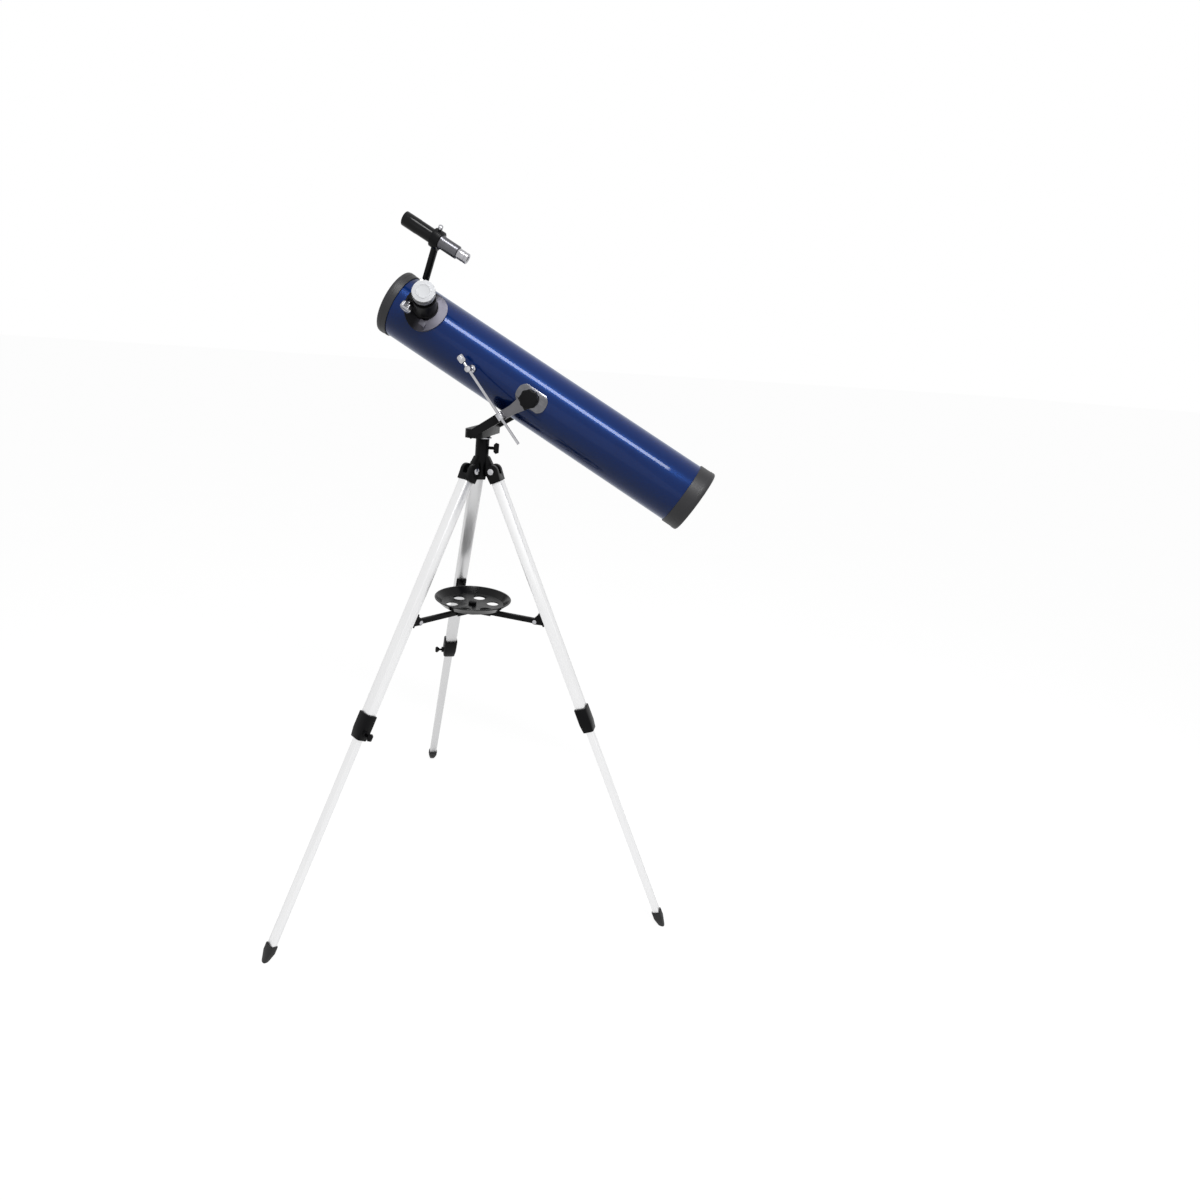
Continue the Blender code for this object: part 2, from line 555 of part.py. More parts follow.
def make_yoke(yoke):
    """Cross bar over the column with two arms that slope back to the altitude pivots."""
    outer = ARM_GAP + YOKE_ARM_THICKNESS
    middle = YOKE_BASE_BOTTOM + YOKE_BASE_THICKNESS / 2
    bar = prism("yoke", rounded(YOKE_BASE_DEPTH, 2 * outer, 0.012, 3), YOKE_BASE_BOTTOM,
                YOKE_BASE_BOTTOM + YOKE_BASE_THICKNESS, "black_plastic", yoke)
    boss = turned("cut_yoke_boss", [(YOKE_BOSS_RADIUS, COLUMN_TOP + GAP), (YOKE_BOSS_RADIUS, middle)],
                  "black_plastic", yoke)
    join(bar, boss)
    length = hypot(PIVOT_BACK, PIVOT_HEIGHT - middle)
    root = length + YOKE_BASE_DEPTH / 4
    outline = arc((0, 0), YOKE_EYE_RADIUS, 0, -pi, 10)
    outline += [(-YOKE_ARM_WIDTH / 2, length * 0.3), (0.002 - YOKE_BASE_THICKNESS / 2, root)]
    outline += [(YOKE_BASE_THICKNESS / 2, root), (YOKE_ARM_WIDTH / 2, length * 0.3)]
    for sign in (-1, 1):
        inner_face, outer_face = sorted((sign * ARM_GAP, sign * (outer - 0.0005)))
        arm = prism(f"cut_yoke_arm_{sign}", outline, inner_face, outer_face, "black_plastic", yoke, "Y",
                    location=(-PIVOT_BACK, 0, PIVOT_HEIGHT), rotation=(0, ARM_TILT, 0))
        join(bar, arm)
    bore(bar, "cut_pivots", PIVOT_PIN_RADIUS + GAP, -outer * 1.2, outer * 1.2, yoke, "Y",
         location=(-PIVOT_BACK, 0, PIVOT_HEIGHT))
    bore(bar, "cut_spindle_seat", SPINDLE_RADIUS + GAP, COLUMN_TOP - 0.01, COLUMN_TOP + 0.014, yoke, count=24)
    turned("azimuth_spindle", [(SPINDLE_RADIUS, COLUMN_TOP - SPINDLE_DEPTH), (SPINDLE_RADIUS, COLUMN_TOP + 0.0137)],
           "chrome", yoke, count=24)


def make_altitude_knobs(pivot):
    """A knob on each arm's outer face, on a pin that enters the cradle's boss."""
    outer = ARM_GAP + YOKE_ARM_THICKNESS + GAP
    inner = ARM_GAP - 0.003
    for side, sign in (("near", 1), ("far", -1)):
        levels = [outer, outer + KNOB_COLLAR, outer + ALTITUDE_KNOB_DEPTH - 0.002, outer + ALTITUDE_KNOB_DEPTH]
        sizes = [(0.010, 0.0), (ALTITUDE_KNOB_RADIUS, 0.0018), (ALTITUDE_KNOB_RADIUS, 0.0018),
                 (ALTITUDE_KNOB_RADIUS - 0.002, 0.0018)]
        loops = [[TURNS["Y"]((p[0], p[1], sign * p[2])) for p in lobed(radius, depth, 8, level, 32)]
                 for (radius, depth), level in zip(sizes, levels)]
        knob = skin(f"altitude_knob_{side}", loops, "black_plastic", pivot)
        pin = turned(f"cut_pin_{side}_knob", [(PIVOT_PIN_RADIUS, sign * inner), (PIVOT_PIN_RADIUS, sign * (outer + 0.001))],
                     "black_plastic", pivot, "Y", 16)
        join(knob, pin)


def make_cradles(tube):
    """Plates bent to the tube's side that carry the pivot bosses."""
    low = TUBE_RADIUS + GAP
    high = low + CRADLE_THICKNESS
    for side, sign in (("near", 1), ("far", -1)):
        half_angle = CRADLE_WIDTH / 2 / low
        loops = []
        for step in range(9):
            turn = half_angle * (step - 4) / 4
            reach = CRADLE_LENGTH / 2 - 0.010 * (abs(step - 4) / 4) ** 3
            row = [(-reach, low), (reach, low), (reach, high), (-reach, high)]
            loops.append([(x, sign * radius * cos(turn), radius * sin(turn)) for x, radius in row])
        plate = skin(f"cradle_plate_{side}", loops, "chrome", tube)
        boss = turned(f"cut_boss_{side}_plate",
                      [(CRADLE_BOSS_RADIUS, sign * (low + 0.001)), (CRADLE_BOSS_RADIUS, sign * (ARM_GAP - GAP))],
                      "chrome", tube, "Y", 24)
        join(plate, boss)
        bore(plate, f"cut_boss_hole_{side}", PIVOT_PIN_RADIUS + GAP, sign * (ARM_GAP - 0.0036), sign * ARM_GAP * 1.1,
             tube, "Y")


def swivel_place():
    """The swivel's place on the near arm, in the yoke's frame."""
    along = (SWIVEL_ALONG_ARM * cos(ARM_TILT), SWIVEL_ALONG_ARM * sin(ARM_TILT))
    return -PIVOT_BACK + along[0], PIVOT_HEIGHT - along[1]


def stud_place():
    """The stud's place in the yoke's frame, for the tube at rest."""
    return (-PIVOT_BACK + STUD_FORWARD * cos(ELEVATION) + STUD_DROP * sin(ELEVATION),
            PIVOT_HEIGHT + STUD_FORWARD * sin(ELEVATION) - STUD_DROP * cos(ELEVATION))


def make_rod(yoke, tube):
    """Slow-motion rod: turns on a stud on the tube and slides through a swivel block beside the near arm."""
    beside = max(0.0, STUD_DROP - STUD_FOOT_RADIUS)
    foot = sqrt(TUBE_RADIUS ** 2 - beside ** 2) + GAP
    turned("rod_stud", [(STUD_FOOT_RADIUS, foot), (STUD_FOOT_RADIUS, foot + STUD_FOOT_RISE),
                        (STUD_RADIUS, foot + STUD_FOOT_RISE), (STUD_RADIUS, ROD_STANDOFF - STUD_EYE_RADIUS - GAP)],
           "chrome", tube, "Y", 16, location=(STUD_FORWARD, 0, -STUD_DROP))
    stud_x, stud_z = stud_place()
    swivel_x, swivel_z = swivel_place()
    lean = atan2(stud_x - swivel_x, stud_z - swivel_z)
    span = hypot(stud_x - swivel_x, stud_z - swivel_z)
    frame = empty("rod_axis", yoke, (stud_x, ROD_STANDOFF, stud_z), (0, lean, 0))

    rod = turned("slow_motion_rod", [(ROD_RADIUS, -span - ROD_TAIL), (ROD_RADIUS, ROD_HEAD + 0.004)], "chrome",
                 frame, count=12)
    eye = turned("cut_rod_eye", [(STUD_EYE_RADIUS, -STUD_EYE_RADIUS), (STUD_EYE_RADIUS, STUD_EYE_RADIUS)], "chrome", frame, "Y", 16)
    join(rod, eye)
    knob_low = ROD_HEAD + 0.0045
    skin("rod_knob", [lobed(r, d, 8, level, 16) for r, d, level in
                             ((0.0045, 0.0, knob_low), (ROD_KNOB_RADIUS, 0.0008, knob_low + 0.003),
                              (ROD_KNOB_RADIUS, 0.0008, knob_low + ROD_KNOB_LENGTH - 0.002),
                              (0.005, 0.0, knob_low + ROD_KNOB_LENGTH))], "chrome", frame)
    arm_face = ARM_GAP + YOKE_ARM_THICKNESS
    back = arm_face + RUNNING - ROD_STANDOFF
    block = skin("rod_swivel", [at_level(rounded(0.011, 0.0065 - back, 0.002, 2), level) for level in (-0.006, 0.006)],
                 "chrome", frame, location=(0, 0, -span))
    block.data.transform(Matrix.Translation((0, (0.0065 + back) / 2, 0)))
    bore(block, "cut_swivel_bore", ROD_RADIUS + GAP, -0.01, 0.01, frame, location=(0, 0, -span))


def make_tube(tube):
    """Main tube with its end rings."""
    bore_radius = TUBE_BORE
    front = TUBE_FRONT - RING_LIP - GAP
    rear = -TUBE_REAR + RING_LIP + GAP
    body = turned("main_tube", [(TUBE_RADIUS, rear), (TUBE_RADIUS, front), (bore_radius, front), (bore_radius, rear)],
                  "blue_enamel", tube, "X", TUBE_SIDES, ringed=True)
    bore(body, "cut_focuser_opening", DRAWTUBE_RADIUS + 0.001, TUBE_RADIUS * 0.6, TUBE_RADIUS * 1.3, tube, "Y", 32,
         location=(FOCUSER_FORWARD, 0, 0), rotation=(FOCUSER_TILT, 0, 0))
    seat = TUBE_RADIUS + GAP
    ring(tube, "front_ring", TUBE_FRONT, -1, FRONT_RING_LENGTH, FRONT_LIP_RADIUS, seat)
    ring(tube, "rear_ring", -TUBE_REAR, 1, REAR_RING_LENGTH, REAR_LIP_RADIUS, seat)


def ring(tube, name, face, inward, length, lip, seat):
    levels = [(lip, face), (RING_RADIUS, face), (RING_RADIUS, face + inward * length), (seat, face + inward * length),
              (seat, face + inward * RING_LIP), (lip, face + inward * RING_LIP)]
    return turned(name, levels, "black_plastic", tube, "X", TUBE_SIDES, ringed=True)


def make_primary(tube):
    """Primary mirror in its cell, with three collimation screws behind."""
    radius = TUBE_BORE - GAP
    back = CELL_BACK
    seat = back + CELL_PLATE
    cup = MIRROR_RADIUS + GAP
    front = seat + CELL_LIP
    profile = [(radius, back), (radius, seat), (cup + CELL_WALL, seat), (cup + CELL_WALL, front), (cup, front),
               (cup, seat)]
    turned("mirror_cell", profile, "black_plastic", tube, "X", 32)
    face = seat + GAP
    turned("primary_mirror", [(MIRROR_RADIUS, face), (MIRROR_RADIUS, face + MIRROR_THICKNESS - 0.0008),
                              (MIRROR_RADIUS - 0.0008, face + MIRROR_THICKNESS)], "mirror_glass", tube, "X", 32)
    for i in range(3):
        t = 2 * pi * i / 3 + pi / 2
        head = back - GAP
        turned(f"collimation_screw_{i + 1}", [(0.0045, head - COLLIMATION_HEAD), (0.005, head - COLLIMATION_HEAD + 0.001),
                                              (0.005, head)], "chrome", tube, "X", 16,
               location=(0, COLLIMATION_RADIUS * cos(t), COLLIMATION_RADIUS * sin(t)))


def make_secondary(tube):
    """Spider with its holder, and the flat secondary that turns the light to the focuser."""
    centre = FOCUSER_FORWARD
    middle = centre + SPIDER_AHEAD
    turn = (FOCUSER_TILT, 0, 0)
    hub = turned("spider", [(SPIDER_HUB_RADIUS, centre - 0.016), (SPIDER_HUB_RADIUS, middle + SPIDER_HUB_LENGTH / 2)],
                 "matt_black", tube, "X", 20)
    for i in range(VANES):
        t = FOCUSER_TILT + pi / 2 + 2 * pi * i / VANES
        outline = rectangle(TUBE_BORE - GAP - 0.002, VANE_THICKNESS, ((TUBE_BORE - GAP + 0.002) / 2, 0))
        vane = prism(f"cut_vane_{i}", outline, middle - VANE_WIDTH / 2, middle + VANE_WIDTH / 2, "matt_black", tube,
                     "X", rotation=(t, 0, 0))
        join(hub, vane)
    lean = radians(45)
    slope = empty("secondary_axis", tube, (centre, 0, 0), turn)
    wedge = prism("cut_secondary_seat", rectangle(0.08, 0.06, (0, 0)), -0.05, SECONDARY_THICKNESS + GAP,
                  "matt_black", slope, rotation=(0, 0, 0))
    wedge.data.transform(Matrix.Rotation(lean, 4, "Z") @ Matrix.Rotation(radians(90), 4, "Y"))
    cut(hub, wedge)
    loops = [[(SECONDARY_RADIUS * cos(t) * 1.38, SECONDARY_RADIUS * sin(t), level)
              for t in (2 * pi * i / 28 for i in range(28))] for level in (0.0, SECONDARY_THICKNESS)]
    mirror = skin("secondary_mirror", loops, "mirror_glass", slope)
    mirror.data.transform(Matrix.Rotation(lean, 4, "Z") @ Matrix.Rotation(radians(90), 4, "Y")
                          @ Matrix.Rotation(radians(90), 4, "Z"))


def make_focuser(tube):
    """Rack focuser; in its frame Z points out of the tube and X forward."""
    frame = empty("focuser_axis", tube, (FOCUSER_FORWARD, 0, 0), (FOCUSER_TILT - pi / 2, 0, 0))
    saddle = TUBE_RADIUS + GAP
    body = turned("focuser_body", [(FOCUSER_ROOT_RADIUS, saddle * 0.9), (FOCUSER_ROOT_RADIUS, saddle + 0.010),
                                   (FOCUSER_TOP_RADIUS, FOCUSER_TOP)], "black_plastic", frame, count=32)
    flange = turned("cut_flange", [(FLANGE_RADIUS, saddle * 0.5), (FLANGE_RADIUS, saddle * 1.2)], "black_plastic",
                    frame, count=32)
    shell = turned("cut_flange_shell", [(saddle + FLANGE_THICKNESS, -0.1), (saddle + FLANGE_THICKNESS, 0.1)],
                   "black_plastic", frame, "X", TUBE_SIDES)
    boolean(flange, shell, "INTERSECT")
    join(body, flange)
    block = prism("cut_pinion_block", rectangle(PINION_AHEAD + 0.005, 2 * PINION_BLOCK_HALF,
                  ((PINION_AHEAD + 0.005) / 2, 0)), PINION_HEIGHT - 0.010, PINION_HEIGHT + 0.010, "black_plastic",
                  frame)
    join(body, block)
    inside = turned("cut_tube_shape", [(saddle, -0.1), (saddle, 0.1)], "black_plastic", frame, "X", TUBE_SIDES)
    cut(body, inside)
    bore(body, "cut_drawtube_bore", DRAWTUBE_RADIUS + RUNNING, saddle * 0.5, FOCUSER_TOP * 1.2, frame, count=32)
    bore(body, "cut_pinion_bore", PINION_RADIUS + RUNNING, -0.03, 0.03, frame, "Y",
         location=(PINION_AHEAD, 0, PINION_HEIGHT))

    inner = DRAWTUBE_RADIUS - DRAWTUBE_WALL
    turned("drawtube", [(DRAWTUBE_RADIUS, DRAWTUBE_INNER_END), (DRAWTUBE_RADIUS, DRAWTUBE_OUTER_END),
                        (inner, DRAWTUBE_OUTER_END), (inner, DRAWTUBE_INNER_END)], "chrome", frame, count=32,
           ringed=True)
    top = DRAWTUBE_OUTER_END + GAP
    seat = DRAWTUBE_RADIUS + GAP
    turned("drawtube_cap", [(seat, top), (seat, top - CAP_SKIRT), (CAP_RADIUS, top - CAP_SKIRT),
                            (CAP_RADIUS, top + CAP_TOP - 0.0008), (CAP_RADIUS - 0.0008, top + CAP_TOP),
                            (0.015, top + CAP_TOP), (0.0145, top + CAP_TOP - 0.001)],
           "white_plastic", frame, count=32)
    return frame


def make_focus_knob(frame):
    """Pinion shaft with a grip at each end."""
    half = FOCUS_SHAFT_HALF
    shaft = turned("focus_knob", [(PINION_RADIUS, -half), (PINION_RADIUS, half)], "black_plastic", frame, "Y", 16,
                   location=(PINION_AHEAD, 0, PINION_HEIGHT))
    for sign in (-1, 1):
        loops = [[TURNS["Y"]((p[0], p[1], sign * p[2])) for p in lobed(r, d, 12, level, 24)] for r, d, level in
                 ((FOCUS_KNOB_RADIUS - 0.001, 0.0008, half - 0.004), (FOCUS_KNOB_RADIUS, 0.0008, half - 0.003),
                  (FOCUS_KNOB_RADIUS, 0.0008, half + FOCUS_KNOB_LENGTH - 0.005),
                  (FOCUS_KNOB_RADIUS - 0.0015, 0.0, half + FOCUS_KNOB_LENGTH - 0.004))]
        grip = skin(f"cut_grip_{sign}", loops, "black_plastic", frame, location=(PINION_AHEAD, 0, PINION_HEIGHT))
        join(shaft, grip)


def make_finder(tube):
    """Finder on a post; in its frame Z points out of the tube, and X forward along the finder."""
    frame = empty("finder_axis", tube, (0, 0, 0), (FINDER_TILT - pi / 2, 0, 0))
    up = (0, 0, FINDER_HEIGHT)
    turned("finder_tube", [(FINDER_FRONT_RADIUS - 0.002, FINDER_FRONT - FINDER_RECESS),
                           (FINDER_FRONT_RADIUS - 0.002, FINDER_FRONT), (FINDER_FRONT_RADIUS, FINDER_FRONT),
                           (FINDER_FRONT_RADIUS, FINDER_SHOULDER - 0.012), (FINDER_WAIST_RADIUS, FINDER_SHOULDER - 0.018),
                           (FINDER_WAIST_RADIUS, FINDER_REAR + 0.001), (FINDER_WAIST_RADIUS - 0.001, FINDER_REAR)],
           "black_plastic", frame, "X", 24, location=up)
    turned("finder_eyepiece", [(FINDER_EYE_RADIUS, FINDER_REAR - GAP), (FINDER_EYE_RADIUS, FINDER_EYE_END + 0.005),
                               (FINDER_CUP_RADIUS, FINDER_EYE_END), (FINDER_CUP_RADIUS - 0.002, FINDER_EYE_END),
                               (FINDER_EYE_RADIUS - 0.002, FINDER_EYE_END + 0.003)],
           "black_plastic", frame, "X", 20, location=up)
    outer = FINDER_BORE + FINDER_RING_WALL
    half = FINDER_RING_LENGTH / 2
    bracket = turned("finder_bracket", [(outer, POST_FORWARD - half), (outer, POST_FORWARD + half)],
                     "black_plastic", frame, "X", 28, location=up)
    foot = TUBE_RADIUS + FLANGE_THICKNESS + 2 * GAP
    post = prism("cut_post", rounded(POST_LENGTH, POST_WIDTH, 0.003, 2), foot, FINDER_HEIGHT - FINDER_BORE - 0.001,
                 "black_plastic", frame, location=(POST_FORWARD, 0, 0))
    join(bracket, post)
    shoe = prism("cut_shoe", rounded(POST_LENGTH + 0.008, POST_WIDTH, 0.003, 2), foot - 0.001, foot + 0.006,
                 "black_plastic", frame, location=(POST_FORWARD, 0, 0))
    join(bracket, shoe)
    under = turned("cut_shoe_seat", [(foot, -0.1), (foot, 0.6)], "black_plastic", frame, "X", TUBE_SIDES)
    cut(bracket, under)
    bore(bracket, "cut_finder_bore", FINDER_BORE, POST_FORWARD - 0.03, POST_FORWARD + 0.03, frame, "X", 24,
         location=up)
    bore(bracket, "cut_finder_screw_hole", FINDER_SCREW_RADIUS + GAP, FINDER_BORE - 0.002, outer + 0.004, frame,
         count=12, location=(POST_FORWARD, 0, FINDER_HEIGHT))
    turned("finder_screw", [(FINDER_SCREW_RADIUS, FINDER_FRONT_RADIUS + GAP), (FINDER_SCREW_RADIUS, outer + 0.003),
                            (0.0042, outer + 0.003), (0.0042, outer + 0.008), (0.003, outer + 0.009)],
           "chrome", frame, count=12, location=(POST_FORWARD, 0, FINDER_HEIGHT))


def main():
    clear_scene()
    stand = empty("stand", location=(0, AXIS_Y, 0))
    make_hub(stand)
    make_lock_knob(stand)
    for side, azimuth in LEG_AZIMUTHS.items():
        make_leg(side, azimuth, stand)
        make_brace_arm(side, azimuth, stand)
    make_spreader(stand)

    yoke = empty("azimuth_axis", stand, rotation=(0, 0, AXIS_AZIMUTH))
    make_yoke(yoke)
    tube = empty("altitude_axis", yoke, (-PIVOT_BACK, 0, PIVOT_HEIGHT), (0, -ELEVATION, 0))
    make_altitude_knobs(tube)
    make_cradles(tube)
    make_rod(yoke, tube)
    make_tube(tube)
    make_primary(tube)
    make_secondary(tube)
    focuser = make_focuser(tube)
    make_focus_knob(focuser)
    make_finder(tube)


main()
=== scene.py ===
"""Finishes and finely modelled pieces for a newtonian reflector telescope on its alt-azimuth tripod."""

import json
from math import cos, pi, radians, sin, sqrt

import bpy
from mathutils import Matrix, Vector

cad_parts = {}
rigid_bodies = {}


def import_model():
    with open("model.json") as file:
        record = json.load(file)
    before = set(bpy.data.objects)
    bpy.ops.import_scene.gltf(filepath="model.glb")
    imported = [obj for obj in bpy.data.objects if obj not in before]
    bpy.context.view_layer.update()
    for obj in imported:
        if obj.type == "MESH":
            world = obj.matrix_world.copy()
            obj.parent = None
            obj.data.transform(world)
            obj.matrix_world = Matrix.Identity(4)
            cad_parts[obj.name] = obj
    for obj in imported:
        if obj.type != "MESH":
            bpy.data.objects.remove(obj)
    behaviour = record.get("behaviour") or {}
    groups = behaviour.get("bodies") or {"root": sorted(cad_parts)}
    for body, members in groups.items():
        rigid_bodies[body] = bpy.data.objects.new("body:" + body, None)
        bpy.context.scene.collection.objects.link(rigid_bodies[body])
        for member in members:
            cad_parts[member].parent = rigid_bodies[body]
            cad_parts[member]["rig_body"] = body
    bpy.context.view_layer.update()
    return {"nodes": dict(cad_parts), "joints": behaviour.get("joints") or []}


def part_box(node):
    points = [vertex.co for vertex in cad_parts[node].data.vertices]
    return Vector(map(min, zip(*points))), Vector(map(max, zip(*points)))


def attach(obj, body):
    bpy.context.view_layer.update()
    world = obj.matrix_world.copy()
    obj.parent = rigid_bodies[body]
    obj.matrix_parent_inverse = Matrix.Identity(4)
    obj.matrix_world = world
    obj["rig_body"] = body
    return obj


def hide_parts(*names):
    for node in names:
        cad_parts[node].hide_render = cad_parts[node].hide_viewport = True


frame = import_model()

# ---------------------------------------------------------------- values, in metres and degrees
SIDES = ("left", "right", "back")
CLOSE = 0.0003              # gap between pieces that touch
POLE = 0.0004               # smallest ring, at the middle of a closed end
RING_SIDES = 144            # round the tube
ROUND_SIDES = 64            # round everything smaller

UPPER_EDGE = 0.0006         # how far an ordinary edge is rounded
FINE_EDGE = 0.00035

TUBE_WALL = 0.0012
SADDLE_THICKNESS = 0.0025
FOCUSER_COLLAR = 0.0012     # how far the focuser's collars stand out
FOCUSER_BORE_ROOM = 0.0004
PINION_BLOCK = (0.016, 0.027, 0.019)
CAP_RING = (0.0108, 0.0136) # raised ring on the dust cap
KNOB_FLUTE = 0.94
FINDER_BLACK = 0.060        # length of the finder's black front
ARM_GREY_SPAN = (0.018, 0.056)  # bare stretch of the near arm, from the altitude pivot
LUG = (0.013, 0.011, 0.012) # lug at the saddle's lower edge
TRAY_RIM = 0.0016
TRAY_HOLES = 6
TRAY_HOLE_RADIUS = 0.012
TRAY_HOLE_PITCH = 0.042
ARM_INNER_FACE = 0.0620

CAMERA_FROM_AXIS = Vector((-0.2691, -1.3747, 1.126))
CAMERA_YAW, CAMERA_PITCH, CAMERA_ROLL = radians(11.56), radians(18.17), radians(3.72)
CAMERA_LENS, CAMERA_SENSOR = 21.77, 36.0
CAMERA_SHIFT = (0.1008, -0.0067)

# ---------------------------------------------------------------- where things are, from the frame
joints = {joint["name"]: joint for joint in frame["joints"]}


def pivot(joint):
    return Vector(joints[joint]["pos_m"])


def along(joint):
    return Vector(joints[joint]["axis"]).normalized()


def span(node, axis, origin):
    """How far a node reaches along an axis from a point: its lowest and highest."""
    reach = [(v.co - origin).dot(axis) for v in frame["nodes"][node].data.vertices]
    return min(reach), max(reach)


def reach_from(node, axis, origin):
    """A node's least and greatest distance from an axis."""
    apart = [(v.co - origin).cross(axis).length for v in frame["nodes"][node].data.vertices]
    return min(apart), max(apart)


def towards(axis, node, origin):
    """The axis, turned so that it points at a node."""
    low, high = span(node, axis, origin)
    return axis if low + high > 0 else -axis


PIVOT = pivot("altitude")
UP = Vector((0, 0, 1))
TUBE = towards(along("finder_focus"), "front_ring", PIVOT)              # towards the open end
NEAR = towards(along("altitude"), "altitude_knob_near", PIVOT)          # towards the near arm
OVER = TUBE.cross(NEAR).normalized()
MAST = Vector((*pivot("azimuth").xy, 0))
TUBE_RADIUS = reach_from("main_tube", TUBE, PIVOT)[1]

# ---------------------------------------------------------------- finishes


class Field:
    """A value that changes over a surface. Arithmetic on it adds Math nodes to its finish."""

    def __init__(self, finish, socket):
        self.finish, self.socket = finish, socket

    def maths(self, operation, first, second=0.0):
        return self.finish.node("ShaderNodeMath", {"operation": operation}, {0: first, 1: second})

    def __add__(self, other):
        return self.maths("ADD", self, other)

    __radd__ = __add__

    def __sub__(self, other):
        return self.maths("SUBTRACT", self, other)

    def __rsub__(self, other):
        return self.maths("SUBTRACT", other, self)

    def __mul__(self, other):
        return self.maths("MULTIPLY", self, other)

    __rmul__ = __mul__

    def __truediv__(self, other):
        return self.maths("DIVIDE", self, other)

    def __rtruediv__(self, other):
        return self.maths("DIVIDE", other, self)

    def __pow__(self, other):
        return self.maths("POWER", self, other)

    def over(self, low, high):
        """0 below low, 1 above high, and smooth between them."""
        return self.finish.node("ShaderNodeMapRange", {"interpolation_type": "SMOOTHSTEP"},
                                {"Value": self, "From Min": low, "From Max": high})


class Finish:
    """A node-based material for one kind of surface."""

    def __init__(self, name, **numbers):
        self.material = bpy.data.materials.new(name)
        self.material.use_nodes = True
        self.tree = self.material.node_tree
        self.shader = self.tree.nodes["Principled BSDF"]
        self.place = self.node("ShaderNodeTexCoord", output="Object")
        self.feed({socket.replace("_", " "): number for socket, number in numbers.items()})

    def node(self, kind, settings=(), inputs=(), output=0):
        made = self.tree.nodes.new(kind)
        for key, value in dict(settings).items():
            setattr(made, key, value)
        for key, value in dict(inputs).items():
            self.join(value, made.inputs[key])
        return Field(self, made.outputs[output])

    def join(self, value, socket):
        if isinstance(value, Field):
            self.tree.links.new(value.socket, socket)
        else:
            socket.default_value = value

    def feed(self, values):
        for name, value in values.items():
            self.join(value, self.shader.inputs[name])

    def noise(self, scale, detail=3.0, roughness=0.5, vector=None):
        return self.node("ShaderNodeTexNoise", {}, {"Vector": vector or self.place, "Scale": scale, "Detail": detail,
                                                   "Roughness": roughness})

    def blend(self, amount, low, high):
        """A colour between two, each an RGB triple or a colour already made."""
        low, high = (c if isinstance(c, Field) else (*c, 1.0) for c in (low, high))
        return self.node("ShaderNodeMix", {"data_type": "RGBA"}, {0: amount, 6: low, 7: high}, output=2)

    def bump(self, height, distance, strength=1.0):
        self.feed({"Normal": self.node("ShaderNodeBump", {}, {"Height": height, "Distance": distance,
                                                               "Strength": strength})})

    def drawn_out(self, axis, across, lengthwise):
        """Object coordinates squeezed across an axis and stretched along it, so that noise reads as drawn lines."""
        side = axis.cross(UP if abs(axis.z) < 0.9 else Vector((1, 0, 0))).normalized()
        parts = [(side, across), (side.cross(axis), across), (axis, lengthwise)]
        dots = [self.node("ShaderNodeVectorMath", {"operation": "DOT_PRODUCT"}, {0: self.place, 1: tuple(way * scale)},
                          output="Value") for way, scale in parts]
        return self.node("ShaderNodeCombineXYZ", {}, dict(zip("XYZ", dots)))


def moulded(name, dark, pale, roughness, grain=0.00003, coat=0.0, level=0.10):
    """Moulded plastic: a faint mottle, rubbed patches and a fine eggshell grain."""
    finish = Finish(name, IOR=1.5, Specular_IOR_Level=level, Coat_Weight=coat, Coat_Roughness=0.12)
    mottle = finish.noise(55, 4)
    rubbed = finish.noise(14, 5, 0.65).over(0.52, 0.74)
    finish.feed({"Base Color": finish.blend(mottle * 0.7 + rubbed * 0.3, dark, pale),
                 "Roughness": mottle * 0.16 + rubbed * -0.07 + (roughness - 0.06)})
    finish.bump(finish.noise(1500, 2) + mottle * 0.6, grain)
    return finish.material


def drawn_metal(name, axis, colour, shade, roughness, lines=0.00001, metallic=1.0):
    """Extruded or drawn metal with fine lines along its length and a faint cloudiness."""
    finish = Finish(name, Metallic=metallic)
    line = finish.noise(1.0, 3, 0.6, finish.drawn_out(axis, 2600, 26))
    cloud = finish.noise(9, 4, 0.6)
    finish.feed({"Base Color": finish.blend(cloud * 0.5 + line * 0.5, shade, colour),
                 "Roughness": line * 0.14 + cloud * 0.1 + (roughness - 0.12)})
    finish.bump(line, lines, 0.6)
    return finish.material


def bright_metal(name, colour, shade, roughness):
    """Plated metal: nearly clear, with hazy handling marks."""
    finish = Finish(name, Metallic=1.0)
    haze = finish.noise(120, 5, 0.62)
    marks = finish.noise(34, 3).over(0.48, 0.8)
    finish.feed({"Base Color": finish.blend(haze, shade, colour),
                 "Roughness": haze * 0.08 + marks * 0.12 + roughness})
    finish.bump(haze, 0.00001, 0.4)
    return finish.material


def tube_enamel():
    """Deep blue metallic enamel under a clear coat: fine flake, a slow cloud in depth, and slight orange peel."""
    finish = Finish("blue_metallic_enamel", Metallic=0.22, IOR=1.5, Specular_Tint=(0.25, 0.55, 1.0, 1.0),
                    Specular_IOR_Level=0.16, Coat_Weight=0.40, Coat_Roughness=0.045, Coat_IOR=1.45)
    flake = finish.node("ShaderNodeTexVoronoi", {"feature": "F1"}, {"Vector": finish.place, "Scale": 2600.0})
    cloud = finish.noise(7, 4, 0.55)
    spark = 1 - flake.over(0.10, 0.42)
    deep = finish.blend(cloud, (0.0002, 0.0085, 0.080), (0.0004, 0.017, 0.120))
    finish.feed({"Base Color": finish.blend(spark * 0.35, deep, (0.001, 0.095, 0.36)),
                 "Roughness": 0.24 + cloud * 0.08 - spark * 0.05})
    finish.bump(finish.noise(260, 2), 0.000012, 0.5)
    return finish.material


